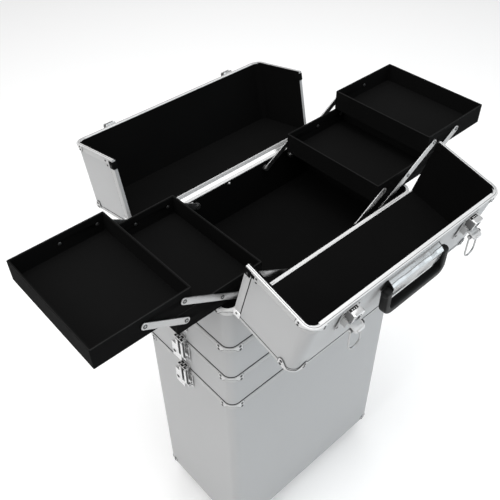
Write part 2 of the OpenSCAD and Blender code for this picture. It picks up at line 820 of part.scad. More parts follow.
module side_latch_base() {
    cheek_depth = side_axis_x + barrel_r - side_face;
    ear_y = side_lever_w/2 + 2*side_gap;
    ear_z = side_ear_up - tier_h;
    plate_z = -side_plate_h - seam_h;
    translate([side_face, -side_plate_w/2, plate_z])
        cube([side_plate_t, side_plate_w, side_plate_h]);
    translate([side_face, ear_y, ear_z])
        cube([side_plate_t, side_plate_w/2 + side_ear_w - ear_y, plate_z + side_ear_lap - ear_z]);
    front_and_rear() translate([side_face, side_cheek_y, -side_axis_down - barrel_r])
        cube([cheek_depth, cheek_t, 2*barrel_r]);
    translate([side_axis_x, -side_cheek_y - cheek_t, -side_axis_down])
        y_rod(latch_pin_r, 2*(side_cheek_y + cheek_t));
}

module side_latch_keeper() {
    translate([case_l/2 + skin_gap, -keeper_w/2, keeper_z - keeper_t])
        cube([keeper_out, keeper_w, keeper_t]);
    translate([case_l/2 + skin_gap, -keeper_w/2, keeper_z - keeper_t])
        cube([rim_t, keeper_w, 3*keeper_t]);
}

module side_latch_bases() { color("white") on_ends() side_latch_base(); }
module side_latch_keepers() { color("white") on_ends() side_latch_keeper(); }

// Lever with a claw that hooks over the keeper and two ridges down its face
module side_latch_lever(seam) {
    claw_x = case_l/2 + rim_t + 2*side_gap;
    plate_x = side_axis_x;
    color("white") translate([0, 0, seam]) difference() {
        union() {
            translate([side_axis_x, -side_lever_w/2, -side_axis_down]) y_rod(barrel_r, side_lever_w);
            translate([plate_x, -side_lever_w/2, -side_axis_down])
                cube([side_lever_t, side_lever_w, side_axis_down + side_lever_top]);
            translate([claw_x, -side_lever_w/2, side_lever_top - claw_t])
                cube([plate_x + side_lever_t - claw_x, side_lever_w, claw_t]);
            translate([plate_x, -side_lever_w/2, side_lever_top - claw_t])
                cube([2*side_lever_t, side_lever_w, claw_t]);
            for (y = [-1, 1])
                translate([plate_x + side_lever_t, y*(side_lever_w/2 - ridge_w) - ridge_w/2, -side_axis_down + barrel_r])
                    cube([ridge_t, ridge_w, side_axis_down - barrel_r]);
        }
        translate([side_axis_x, -side_lever_w, -side_axis_down]) y_rod(latch_pin_r + run_gap, 2*side_lever_w);
    }
}

module right_upper_latch_lever() { side_latch_lever(seam_middle); }
module right_middle_latch_lever() { side_latch_lever(seam_lower); }
module right_bottom_latch_lever() { side_latch_lever(seam_bin); }
module left_upper_latch_lever() { mirror([1, 0, 0]) side_latch_lever(seam_middle); }
module left_middle_latch_lever() { mirror([1, 0, 0]) side_latch_lever(seam_lower); }
module left_bottom_latch_lever() { mirror([1, 0, 0]) side_latch_lever(seam_bin); }

// Wheels and feet under the bin

module at_wheel() { translate([wheel_x, wheel_y, wheel_d/2]) children(); }

module wheel_fork() {
    translate([-fork_x - fork_t, -fork_l/2, bin_z - fork_t - wheel_d/2])
        cube([2*(fork_x + fork_t), fork_l, fork_t]);
    left_and_right() difference() {
        union() {
            translate([fork_x, -wheel_d/4, 0]) cube([fork_t, wheel_d/2, bin_z - wheel_d/2]);
            translate([fork_x, 0, 0]) x_rod(wheel_d/4, fork_t);
        }
        translate([fork_x - over, 0, 0]) x_rod(axle_r + skin_gap, fork_t + 2*over);
    }
}

module wheel_forks() { color("dimgray") left_and_right() at_wheel() wheel_fork(); }

module wheel_axles() {
    color("gray") left_and_right() at_wheel() {
        translate([-fork_x - fork_t - skin_gap, 0, 0]) x_rod(axle_r, 2*(fork_x + fork_t + skin_gap));
        left_and_right() translate([fork_x + fork_t + skin_gap, 0, 0]) x_rod(axle_r + fork_t, fork_t);
    }
}

module tyre() {
    color([0.08, 0.08, 0.08]) at_wheel() difference() {
        translate([-wheel_w/2, 0, 0]) x_rod(wheel_d/2, wheel_w);
        translate([-wheel_w/2 - over, 0, 0]) x_rod(hub_d/2 + skin_gap, wheel_w + 2*over);
    }
}

module hub() {
    color("gray") at_wheel() difference() {
        translate([-wheel_w/2, 0, 0]) x_rod(hub_d/2, wheel_w);
        translate([-wheel_w/2 - over, 0, 0]) x_rod(axle_r + run_gap, wheel_w + 2*over);
    }
}

module right_wheel_tyre() { tyre(); }
module left_wheel_tyre() { mirror([1, 0, 0]) tyre(); }
module right_wheel_hub() { hub(); }
module left_wheel_hub() { mirror([1, 0, 0]) hub(); }

module front_feet() {
    color([0.08, 0.08, 0.08]) left_and_right() translate([wheel_x, -wheel_y, 0])
        cylinder(r1 = foot_r, r2 = foot_top_r, h = floor_gap);
}

// Pull handle on the rear of the bin

module at_tubes() { left_and_right() translate([tube_x, tube_y, 0]) children(); }

module pull_handle_outer_tubes() {
    color("lightgray") at_tubes() translate([0, 0, tube_z]) difference() {
        cylinder(r = tube_r, h = tube_top - tube_z);
        translate([0, 0, -over]) cylinder(r = rod_r + run_gap, h = tube_top - tube_z + 2*over);
    }
}

module bracket(z, x_from, x_to) {
    translate([x_from, case_d/2 + skin_gap, z])
        cube([x_to - x_from, tube_out + tube_r + bracket_wall, bracket_h]);
}

// A bar holds both tubes near their tops and a block holds each foot
module pull_handle_brackets() {
    half = tube_r + bracket_wall;
    top_z = tube_top - 2*bracket_h;
    color([0.1, 0.1, 0.1]) difference() {
        union() {
            bracket(top_z, -tube_x - half, tube_x + half);
            left_and_right() bracket(tube_z, tube_x - half, tube_x + half);
        }
        at_tubes() cylinder(r = tube_r + skin_gap, h = tube_top);
    }
}

module pull_handle_inner_tubes() {
    color("gainsboro") at_tubes() translate([0, 0, rod_top - rod_l]) cylinder(r = rod_r, h = rod_l);
}

module pull_handle_grip() {
    color([0.08, 0.08, 0.08]) translate([0, tube_y, pull_grip_z]) difference() {
        translate([-pull_grip_l/2, 0, pull_grip_h/2]) rotate([90, 0, 90])
            linear_extrude(pull_grip_l) rounded(pull_grip_h, pull_grip_h, pull_grip_r);
        left_and_right() translate([tube_x, 0, -over]) cylinder(r = rod_r + skin_gap, h = socket_l + over);
        translate([-button_l/2 - side_gap, -button_w/2 - side_gap, pull_grip_h - button_h])
            cube([button_l + 2*side_gap, button_w + 2*side_gap, button_h + over]);
    }
}

module pull_handle_button() {
    color([0.25, 0.25, 0.25]) translate([-button_l/2, tube_y - button_w/2, pull_grip_z + pull_grip_h - button_h + button_up])
        cube([button_l, button_w, button_h]);
}

bin_walls();
lower_tray_walls();
middle_tray_walls();
top_case_walls();
top_case_lining();
stack_rims();
top_case_rim();
corner_clips();
bottom_corner_guards();
hinge_base_leaves();
arm_pivot_studs();
side_latch_bases();
side_latch_keepers();
wheel_forks();
wheel_axles();
front_feet();
pull_handle_outer_tubes();
pull_handle_brackets();
front_lid_shell();
front_lid_lining();
front_lid_rim();
front_lid_corner_clips();
front_hinge_lid_leaves();
carry_handle_plate();
lid_latch_bases();
carry_handle_grip();
left_lid_latch_lever();
right_lid_latch_lever();
left_lid_latch_bail();
right_lid_latch_bail();
rear_lid_shell();
rear_lid_lining();
rear_lid_rim();
rear_lid_corner_clips();
rear_hinge_lid_leaves();
lid_latch_catches();
left_inner_tray();
left_outer_tray();
right_inner_tray();
right_outer_tray();
left_long_arms();
left_lower_arms();
left_upper_arms();
right_long_arms();
right_lower_arms();
right_upper_arms();
left_upper_latch_lever();
left_middle_latch_lever();
left_bottom_latch_lever();
right_upper_latch_lever();
right_middle_latch_lever();
right_bottom_latch_lever();
left_wheel_tyre();
left_wheel_hub();
right_wheel_tyre();
right_wheel_hub();
pull_handle_inner_tubes();
pull_handle_grip();
pull_handle_button();
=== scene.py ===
"""Looks of the rolling makeup case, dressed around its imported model. Metres, Z up, front lid towards -Y."""
import math

import bmesh
import bpy
from mathutils import Matrix, Quaternion, Vector, noise


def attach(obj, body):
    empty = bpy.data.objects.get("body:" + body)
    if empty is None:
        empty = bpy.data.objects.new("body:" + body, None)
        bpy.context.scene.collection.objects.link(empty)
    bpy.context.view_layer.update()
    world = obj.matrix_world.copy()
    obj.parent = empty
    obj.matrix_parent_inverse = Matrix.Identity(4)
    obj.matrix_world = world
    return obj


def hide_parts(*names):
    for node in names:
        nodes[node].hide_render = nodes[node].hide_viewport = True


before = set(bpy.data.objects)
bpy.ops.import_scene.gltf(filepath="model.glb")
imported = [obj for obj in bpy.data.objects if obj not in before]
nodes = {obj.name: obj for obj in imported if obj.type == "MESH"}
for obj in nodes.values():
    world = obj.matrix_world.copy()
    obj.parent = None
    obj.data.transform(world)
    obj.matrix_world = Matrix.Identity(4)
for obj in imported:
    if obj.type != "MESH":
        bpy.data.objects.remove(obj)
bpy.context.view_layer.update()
MM = 0.001

# Camera, matched to the photograph's view
EYE = Vector((-0.50796, -0.51606, 1.24073))
LOOK = Vector((0.48395, 0.5457, -0.68411))
ROLL = math.radians(-0.84)
FOCAL_PX = 655.8
FRAME_PX = 500
SENSOR = 36.0

camera = bpy.data.objects.new("camera", bpy.data.cameras.new("camera"))
bpy.context.scene.collection.objects.link(camera)
camera.data.sensor_width = SENSOR
camera.data.lens = SENSOR*FOCAL_PX/FRAME_PX
camera.data.clip_start = 0.01
camera.data.clip_end = 100
camera.rotation_mode = "QUATERNION"
camera.location = EYE
camera.rotation_quaternion = LOOK.to_track_quat("-Z", "Y") @ Quaternion((0, 0, 1), ROLL)
bpy.context.scene.camera = camera
bpy.context.scene.view_settings.view_transform = "Standard"

# Sizes of the case, in millimetres, as the solids have them
CASE_L, CASE_D, CORNER_R, WALL = 360.0, 204.0, 14.0, 4.0
BIN_Z, SEAMS, RIM_Z = 45.0, (567.0, 502.0, 437.0), 641.0
SEAM_H, RIM_H, RIM_T, SKIN = 1.6, 10.0, 1.2, 0.05
LID_L, LID_H, LID_FLOOR, LID_TOP, LID_CLEAR = 348.0, 104.0, 3.05, 105.85, 0.8
HINGE_Y, FRONT_OPEN, REAR_OPEN = 106.25, 105.0, 101.5
ANGLE_H, ANGLE_T, LINING_T, HINGE_LIP = 4.5, 0.8, 1.0, 2.4
HINGE_X, KNUCKLE_R, LEAF_T = 126.0, 3.0, 1.2
TRAY_L, TRAY_W, TRAY_H = 134.0, 181.9, 31.2
INNER_X, INNER_Z, OUTER_X, OUTER_Z = 178.0, 644.0, 286.5, 676.2
ARM_DX, ARM_DZ, ARM_W, ARM_T, ARM_FACE = 54.0, 32.2, 10.0, 1.6, 91.55
PIVOT_Z, PIVOT_PITCH, LONG_X = 18.0, 54.5, 124.0
CARRY_OUT, CARRY_DOWN, BLOCK_L, BLOCK_H, BLOCK_D = 9.5, 22.5, 96.0, 24.0, 14.0
GRIP_L, GRIP_DROP, GRIP_BAR, GRIP_D = 118.0, 37.0, 11.5, 10.0
LATCH_X, LATCH_AXIS_W, LEVER_OUT, LEVER_LIFT = 112.0, 81.85, 6.0, 60.0
CATCH_W, CATCH_OUT = 16.0, 9.0
SIDE_FACE, SIDE_AXIS_X = 181.25, 186.45
WHEEL_X, WHEEL_Y, WHEEL_D, WHEEL_W, HUB_D = 140.0, 70.0, 40.0, 18.0, 24.0
TUBE_X, TUBE_Y, TUBE_R, TUBE_TOP, TUBE_OUT = 48.0, 115.0, 8.0, 431.0, 13.0
BRACKET_H, BRACKET_WALL, PULL_GRIP_Z = 18.0, 4.0, 444.0


# Shader expressions

class Link:
    """An output of a set of nodes. Python's operators on it add Math nodes."""

    def __init__(self, owner, socket):
        self.owner = owner
        self.socket = socket

    def math(self, operation, first, second):
        return self.owner.node("ShaderNodeMath", {"operation": operation}, {0: first, 1: second})

    def __add__(self, other):
        return self.math("ADD", self, other)

    def __sub__(self, other):
        return self.math("SUBTRACT", self, other)

    def __mul__(self, other):
        return self.math("MULTIPLY", self, other)

    def larger(self, other):
        return self.math("MAXIMUM", self, other)


class Nodes:
    """A node tree of a material or of the world."""

    def __init__(self, tree):
        self.tree = tree

    def node(self, kind, settings, inputs, output=0):
        """Adds a node, with its settings first and then its sockets' values or links."""
        made = self.tree.nodes.new(kind)
        for name, value in settings.items():
            setattr(made, name, value)
        for name, value in inputs.items():
            if isinstance(value, Link):
                self.tree.links.new(value.socket, made.inputs[name])
            else:
                made.inputs[name].default_value = value
        return Link(self, made.outputs[output])

    def between(self, value, low, high, to_low=0.0, to_high=1.0):
        """The value, carried from one range into another."""
        inputs = {"Value": value, 1: low, 2: high, 3: to_low, 4: to_high}
        return self.node("ShaderNodeMapRange", {}, inputs)

    def tint(self, mask, low, high):
        """A colour that goes from low to high with the mask."""
        inputs = {0: mask, 6: (*low, 1), 7: (*high, 1)}
        return self.node("ShaderNodeMix", {"data_type": "RGBA"}, inputs, 2)

    def seen(self):
        """1 for rays from the camera and for those that polished pieces mirror, else 0."""
        kinds = ("Camera", "Glossy", "Transmission")
        paths = [self.node("ShaderNodeLightPath", {}, {}, f"Is {kind} Ray") for kind in kinds]
        return paths[0].larger(paths[1]).larger(paths[2])


class Finish(Nodes):
    """A material made of one Principled BSDF, with constants on its sockets and links for what varies."""

    def __init__(self, name, colour, roughness, **constants):
        self.material = bpy.data.materials.new(name)
        self.material.use_nodes = True
        super().__init__(self.material.node_tree)
        self.shader = self.tree.nodes["Principled BSDF"]
        self.shader.inputs["Base Color"].default_value = (*colour, 1)
        self.shader.inputs["Roughness"].default_value = roughness
        for socket, value in constants.items():
            self.shader.inputs[socket.replace("_", " ")].default_value = value
        self.place = self.node("ShaderNodeTexCoord", {}, {}, "Object")

    def stretched(self, scale):
        """The object's own coordinates, times a factor along each axis."""
        return self.node("ShaderNodeVectorMath", {"operation": "MULTIPLY"}, {0: self.place, 1: scale})

    def noise(self, scale, detail=2.0, stretch=(1, 1, 1)):
        inputs = {"Vector": self.stretched(stretch), "Scale": scale, "Detail": detail}
        return self.node("ShaderNodeTexNoise", {}, inputs, "Fac")

    def feed(self, socket, link):
        self.tree.links.new(link.socket, self.shader.inputs[socket])

    def bump(self, height, strength, depth):
        """Raises the surface by a height map, depth in metres."""
        inputs = {"Strength": strength, "Distance": depth, "Height": height}
        self.feed("Normal", self.node("ShaderNodeBump", {}, inputs))


def grey(value):
    return (value, value, value)


DRAWN = (0.05, 0.05, 6.0)  # Stretch that draws noise out along level strips


def panel_finish():
    """Satin silver facing with a fine grain, faint cloudy variation and slight scuffs."""
    made = Finish("panel_silver", grey(0.46), 0.46, Specular_IOR_Level=0.35)
    cloud = made.noise(7.0, 3.0)
    grain = made.noise(1500.0, 2.0)
    scuff = made.between(made.noise(55.0, 5.0, (1, 1, 0.3)), 0.62, 0.8)
    tone = made.tint(cloud*0.6 + grain*0.4, (0.435, 0.438, 0.442), (0.492, 0.494, 0.497))
    made.feed("Base Color", tone)
    made.feed("Roughness", made.between(cloud + grain*0.4 - scuff*0.3, 0.3, 1.1, 0.38, 0.54))
    made.bump(grain, 0.10, 0.0001)
    return made


def edge_finish():
    """Bright drawn aluminium with fine lines along the strip and small rubbed spots."""
    made = Finish("edge_aluminium", grey(0.52), 0.40, Metallic=0.15)
    lines = made.noise(260.0, 3.0, DRAWN)
    spots = made.noise(60.0, 3.0)
    made.feed("Base Color", made.tint(lines*0.7 + spots*0.3, grey(0.56), grey(0.68)))
    made.feed("Roughness", made.between(lines + spots*0.4, 0.4, 1.0, 0.34, 0.48))
    made.bump(lines, 0.10, 0.00005)
    return made


def band_finish():
    """Satin anodised aluminium of the edge bands' faces, with fine lines along them."""
    made = Finish("band_aluminium", grey(0.49), 0.44, Specular_IOR_Level=0.4)
    lines = made.noise(260.0, 3.0, DRAWN)
    made.feed("Base Color", made.tint(lines, grey(0.46), grey(0.53)))
    made.feed("Roughness", made.between(lines, 0.3, 0.7, 0.38, 0.50))
    made.bump(lines, 0.08, 0.00005)
    return made


def chrome_finish():
    """Polished plating with faint wipe marks."""
    made = Finish("bright_metal", grey(0.70), 0.2, Metallic=0.7)
    marks = made.noise(300.0, 4.0, (1, 0.2, 1))
    made.feed("Base Color", made.tint(marks, grey(0.62), grey(0.76)))
    made.feed("Roughness", made.between(marks, 0.35, 0.7, 0.12, 0.26))
    return made


def crinkled_finish():
    """Thin bright sheet, wrapped and slightly crumpled."""
    made = Finish("crinkled_metal", grey(0.62), 0.3, Metallic=0.75)
    folds = made.noise(30.0, 2.0, (0.5, 1, 1))
    marks = made.noise(400.0, 3.0, (0.3, 1, 1))
    made.feed("Base Color", made.tint(folds*0.7 + marks*0.3, grey(0.42), grey(0.58)))
    made.feed("Roughness", made.between(folds, 0.35, 0.65, 0.14, 0.40))
    made.bump(marks, 0.05, 0.0002)
    return made


def steel_finish():
    """Zinc-plated strip, slightly mottled."""
    made = Finish("arm_steel", grey(0.42), 0.36, Metallic=1.0)
    mottle = made.noise(160.0, 4.0)
    lines = made.noise(400.0, 2.0, (0.2, 1, 1))
    made.feed("Base Color", made.tint(mottle*0.7 + lines*0.3, grey(0.37), grey(0.47)))
    made.feed("Roughness", made.between(mottle, 0.3, 0.7, 0.30, 0.44))
    made.bump(lines, 0.08, 0.00005)
    return made


def rivet_finish():
    """Darker turned steel of the small rivets, with spots of varying tone and dullness."""
    made = Finish("rivet_steel", grey(0.09), 0.35, Metallic=0.8)
    spots = made.noise(900.0, 3.0)
    made.feed("Base Color", made.tint(spots, grey(0.05), grey(0.14)))
    made.feed("Roughness", made.between(spots, 0.3, 0.7, 0.28, 0.46))
    return made


def lining_finish():
    """Short black felt, dull all over."""
    made = Finish("lining_felt", grey(0.0035), 0.95, Specular_IOR_Level=0.04)
    fibre = made.noise(2200.0, 3.0)
    patch = made.noise(14.0, 2.0)
    made.feed("Base Color", made.tint(fibre*0.6 + patch*0.4, grey(0.0020), grey(0.0050)))
    made.bump(fibre, 0.5, 0.0002)
    return made


def tray_finish():
    """Black flocked board, matt with a fine nap and rubbed patches."""
    made = Finish("tray_black", grey(0.0035), 0.85, Specular_IOR_Level=0.06)
    nap = made.noise(1800.0, 3.0)
    patch = made.noise(10.0, 2.0)
    made.feed("Base Color", made.tint(patch*0.5 + nap*0.5, grey(0.0020), grey(0.0050)))
    made.feed("Roughness", made.between(patch, 0.3, 0.7, 0.78, 0.92))
    made.bump(nap, 0.35, 0.00015)
    return made


def grip_finish():
    """Black moulded grip with a soft gloss."""
    made = Finish("grip_black", grey(0.006), 0.48, Specular_IOR_Level=0.12)
    grain = made.noise(700.0, 2.0)
    made.feed("Base Color", made.tint(grain, grey(0.004), grey(0.008)))
    made.feed("Roughness", made.between(made.noise(40.0, 3.0), 0.3, 0.7, 0.36, 0.52))
    made.bump(grain, 0.12, 0.0001)
    return made


def button_finish():
    """Grey moulded plastic with a fine grain."""
    made = Finish("button_grey", grey(0.12), 0.45)
    grain = made.noise(900.0, 2.0)
    made.feed("Base Color", made.tint(grain, grey(0.10), grey(0.14)))
    made.feed("Roughness", made.between(grain, 0.3, 0.7, 0.38, 0.52))
    made.bump(grain, 0.1, 0.0001)
    return made


def fork_finish():
    """Black powder coat."""
    made = Finish("fork_black", grey(0.03), 0.5)
    speck = made.noise(1100.0, 2.0)
    made.feed("Base Color", made.tint(speck, grey(0.022), grey(0.042)))
    made.feed("Roughness", made.between(speck, 0.3, 0.7, 0.42, 0.6))
    made.bump(speck, 0.2, 0.0001)
    return made


def rubber_finish():
    """Dull black rubber with a little dust."""
    made = Finish("rubber", grey(0.02), 0.82)
    dust = made.noise(70.0, 4.0)
    made.feed("Base Color", made.tint(made.between(dust, 0.45, 0.75), grey(0.014), grey(0.04)))
    made.feed("Roughness", made.between(dust, 0.3, 0.7, 0.74, 0.9))
    made.bump(made.noise(500.0, 2.0), 0.2, 0.0002)
    return made


FINISHES = {
    "panel": panel_finish(),
    "lining": lining_finish(),
    "edge_aluminium": edge_finish(),
    "band_aluminium": band_finish(),
    "bright_metal": chrome_finish(),
    "crinkled_metal": crinkled_finish(),
    "rivet_steel": rivet_finish(),
    "arm_steel": steel_finish(),
    "tray_black": tray_finish(),
    "grip_black": grip_finish(),
    "button_grey": button_finish(),
    "fork_black": fork_finish(),
    "rubber": rubber_finish(),
}


# Shapes, worked out in millimetres

CORNERS = ((1, 1), (-1, 1), (-1, -1), (1, -1))


def rounded(length, depth, radius, steps=5):
    """Outline of a rectangle with round corners, centred and anticlockwise."""
    points = []
    for quarter, (side, end) in enumerate(CORNERS):
        x, y = side*(length/2 - radius), end*(depth/2 - radius)
        for i in range(steps + 1):
            a = (quarter + i/steps)*math.pi/2
            points.append((x + radius*math.cos(a), y + radius*math.sin(a)))
    return points


def circle(radius, steps=12):
    angles = [2*math.pi*i/steps for i in range(steps)]
    return [(radius*math.cos(a), radius*math.sin(a)) for a in angles]


def shrunk(outline, inset):
    """The outline moved inwards, for outlines without inward corners."""
    made = []
    for i, here in enumerate(outline):
        before, after = Vector(outline[i - 1]), Vector(outline[(i + 1) % len(outline)])
        along = (after - before).normalized()
        made.append((here[0] - along.y*inset, here[1] + along.x*inset))
    return made


def move(x=0.0, y=0.0, z=0.0):
    return Matrix.Translation((x, y, z))


def turn(degrees, axis):
    return Matrix.Rotation(math.radians(degrees), 4, axis)


def flip(x=1, y=1, z=1):
    return Matrix.Diagonal((x, y, z, 1))


def facing(place, outward):
    """A place whose Z points outward."""
    return Matrix.Translation(place) @ Vector(outward).to_track_quat("Z", "Y").to_matrix().to_4x4()


class Piece:
    """A new piece, built from lofted rings of points."""

    def __init__(self, name):
        self.name = name
        self.mesh = bmesh.new()

    def loft(self, sections, closed=False):
        """Skins closed rings of points, with a cap on each end or joined round into a loop."""
        rings = [[self.mesh.verts.new(Vector(point)*MM) for point in ring] for ring in sections]
        pairs = list(zip(rings, rings[1:]))
        if closed:
            pairs.append((rings[-1], rings[0]))
        else:
            self.mesh.faces.new(rings[0])
            self.mesh.faces.new(rings[-1])
        for one, two in pairs:
            for i in range(len(one)):
                self.mesh.faces.new((one[i - 1], one[i], two[i], two[i - 1]))

    def slab(self, place, outline, low, high, soft, steps=3):
        """An outline raised from low to high, with its edges rounded."""
        levels = []
        for end, sign in ((low, 1), (high, -1)):
            rounds = []
            for i in range(steps + 1):
                a = i/steps*math.pi/2
                rounds.append((end + sign*soft*(1 - math.sin(a)), soft*(1 - math.cos(a))))
            levels += rounds[::-1] if sign > 0 else rounds
        self.loft([[place @ Vector((x, y, z)) for x, y in shrunk(outline, inset)]
                   for z, inset in levels])

    def block(self, place, low, high, soft):
        """A box with rounded edges between two corners."""
        size = [b - a for a, b in zip(low, high)]
        middle = [(a + b)/2 for a, b in zip(low, high)]
        outline = rounded(size[0], size[1], soft, 3)
        self.slab(place @ move(*middle), outline, -size[2]/2, size[2]/2, soft)

    def lathe(self, place, profile, steps=20):
        """Turns a profile of (radius, height) about the place's Z axis."""
        self.loft([[place @ Vector((x, y, height)) for x, y in circle(radius, steps)]
                   for radius, height in profile])

    def hoop(self, place, profile, steps=48):
        """Turns a closed profile of (radius, height) into a ring about the place's Z axis."""
        self.loft([[place @ Vector((radius*c, radius*s, height)) for radius, height in profile]
                   for c, s in circle(1.0, steps)], closed=True)

    def sweep(self, path, section, up, closed=False, swell=None):
        """Carries a section of (side, rise) points along a path, its rise times the swell at each point."""
        sections = []
        count = len(path)
        for i, here in enumerate(path):
            after = path[(i + 1) % count] if closed else path[min(i + 1, count - 1)]
            before = path[i - 1] if closed or i else path[0]
            along = (Vector(after) - Vector(before)).normalized()
            side = along.cross(Vector(up)).normalized()
            rise = side.cross(along)
            factor = swell[i] if swell else 1.0
            sections.append([Vector(here) + side*a + rise*b*factor for a, b in section])
        self.loft(sections, closed)

    def rivet(self, place, radius, height):
        """A domed head."""
        profile = [(radius, -0.2), (radius, 0.2*height), (0.88*radius, 0.62*height),
                   (0.55*radius, 0.92*height), (0.1*radius, height)]
        self.lathe(place, profile, 14)

    def done(self, body, finish, slot=None, stands_for=None, crease=38):
        """Closes the mesh, dresses it and sets it on its body."""
        bmesh.ops.recalc_face_normals(self.mesh, faces=self.mesh.faces)
        data = bpy.data.meshes.new(self.name)
        self.mesh.to_mesh(data)
        self.mesh.free()
        data.polygons.foreach_set("use_smooth", [True]*len(data.polygons))
        data.set_sharp_from_angle(angle=math.radians(crease))
        data.materials.append(FINISHES[finish].material)
        made = bpy.data.objects.new(self.name, data)
        bpy.context.scene.collection.objects.link(made)
        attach(made, body)
        if stands_for:
            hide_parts(stands_for)


WELD_M, BEVEL_ANGLE, BEVEL_STEPS = 0.00002, 40, 2


def dressed(finish, soft, *names):
    """Gives solids that stay their finish, and softens their edges by a radius in millimetres."""
    for name in names:
        solid = nodes[name]
        solid.data.materials.clear()
        solid.data.materials.append(FINISHES[finish].material)
        if not soft:
            continue
        weld = solid.modifiers.new("weld", "WELD")
        weld.merge_threshold = WELD_M
        round_off = solid.modifiers.new("round_off", "BEVEL")
        round_off.width = soft*MM
        round_off.segments = BEVEL_STEPS
        round_off.limit_method = "ANGLE"
        round_off.angle_limit = math.radians(BEVEL_ANGLE)
        round_off.use_clamp_overlap = False
        normals = solid.modifiers.new("normals", "WEIGHTED_NORMAL")
        normals.keep_sharp = True


FRONT_LID = move(0, -HINGE_Y, RIM_Z) @ turn(FRONT_OPEN - 90, "X")
REAR_LID = flip(y=-1) @ move(0, -HINGE_Y, RIM_Z) @ turn(REAR_OPEN - 90, "X")
LIDS = {"front_lid": FRONT_LID, "rear_lid": REAR_LID}
SIDES = {"left": flip(x=-1), "right": Matrix()}
LATCH_LEVELS = ("upper", "middle", "bottom")

# Solids that keep their shape

dressed("panel", 0.0, "bin_walls", "lower_tray_walls", "middle_tray_walls", "top_case_walls",
        "front_lid_shell", "rear_lid_shell")
dressed("lining", 0.0, "top_case_lining", "front_lid_lining", "rear_lid_lining")
dressed("edge_aluminium", 0.3, "pull_handle_outer_tubes")
dressed("bright_metal", 0.3, "hinge_base_leaves", "front_hinge_lid_leaves", "rear_hinge_lid_leaves",
        "side_latch_bases", "side_latch_keepers", "pull_handle_inner_tubes",
        *[f"{hand}_{level}_latch_lever" for hand in SIDES for level in LATCH_LEVELS])
dressed("band_aluminium", 0.3, "lid_latch_bases")
dressed("arm_steel", 0.1, "left_lid_latch_bail", "right_lid_latch_bail")
dressed("arm_steel", 0.3, "wheel_axles")
dressed("rivet_steel", 0.3, "arm_pivot_studs", "lid_latch_catches")
dressed("tray_black", 0.8, "left_inner_tray", "left_outer_tray", "right_inner_tray", "right_outer_tray")
dressed("grip_black", 0.8, "pull_handle_grip", "pull_handle_brackets")
dressed("button_grey", 0.6, "pull_handle_button")
dressed("fork_black", 0.4, "wheel_forks")

# Edge bands: a lip over the panel's edge, a face down its outside and a bead along the lower edge.
# Their sections, and those of the painted-shade dark lines along them, are points of (offset outward,
# height).

LIP_EASE = 0.3 - WALL
BAND = ((-WALL, -RIM_T), (-WALL, -0.3), (LIP_EASE, 0), (0.85, 0), (1.15, -0.1), (1.25, -0.4),
        (1.25, -2.4), (0.9, -2.6), (0.9, -3.1), (1.25, -3.3), (1.25, -RIM_H + 1.5),
        (1.05, -RIM_H + 1.3), (1.05, -RIM_H + 1.0), (1.3, -RIM_H + 0.8), (1.3, -RIM_H + 0.2),
        (1.1, -RIM_H), (SKIN, -RIM_H), (SKIN, -RIM_T))
LID_LIP = 2.4
LID_BAND = [(max(offset, -LID_LIP), z) for offset, z in BAND if offset != LIP_EASE]
LIP = ((-LID_LIP, -0.2), (-LID_LIP, 0.06), (0.9, 0.06), (1.15, -0.05), (1.15, -0.2))
LINING_EDGE = ((-WALL - 0.3, -1.5), (-WALL - 0.3, 0.25), (-WALL + 1.7, 0.25), (-WALL + 1.7, -0.1))
# Dark line on the lid's lip: painted shade
LIP_SHADOW_LINE = ((-0.9, -0.05), (-0.9, 0.1), (-0.3, 0.1), (-0.3, -0.05))
# Dark strip under a band's lower edge: painted shadow of the band
FOOT_SHADOW_LINE = ((-0.2, 0), (0.25, 0), (0.25, -0.7), (-0.2, -0.7))
# Black strip in each seam between layers: painted shade of the gap
SEAM_SHADOW_LINE = ((-0.2, 0.05), (0.45, 0.05), (0.45, 1.5), (-0.2, 1.5))
ANGLE = ((SKIN, 0), (0.65, 0), (0.85, 0.2), (0.85, ANGLE_H - 0.3), (0.6, ANGLE_H), (SKIN, ANGLE_H))


def plan_loop(length, depth, radius, steps=10):
    """Points and outward directions all round a plan with round corners."""
    loop = []
    for quarter, (side, end) in enumerate(CORNERS):
        middle = Vector((side*(length/2 - radius), end*(depth/2 - radius), 0))
        for i in range(steps + 1):
            a = (quarter + i/steps)*math.pi/2
            out = Vector((math.cos(a), math.sin(a), 0))
            loop.append((middle + out*radius, out))
    return loop


def lid_run():
    """The part of a lid's plan from one hinge end round the long wall to the other."""
    corners = plan_loop(LID_L, 2*LID_H, CORNER_R)
    half = len(corners)//2
    ends = [(Vector((x*LID_L/2, -LID_CLEAR, 0)), Vector((x, 0, 0))) for x in (-1, 1)]
    return [ends[0], *corners[half:], ends[1]]


def section_at(place, point, out, profile):
    """A section of (offset, height) points, stood on a point of a plan with its offsets outward."""
    return [place @ (point + out*offset + Vector((0, 0, z))) for offset, z in profile]


def edging(piece, place, run, profile, closed):
    """Carries a section along a run of points and outward directions."""
    piece.loft([section_at(place, point, out, profile) for point, out in run], closed)


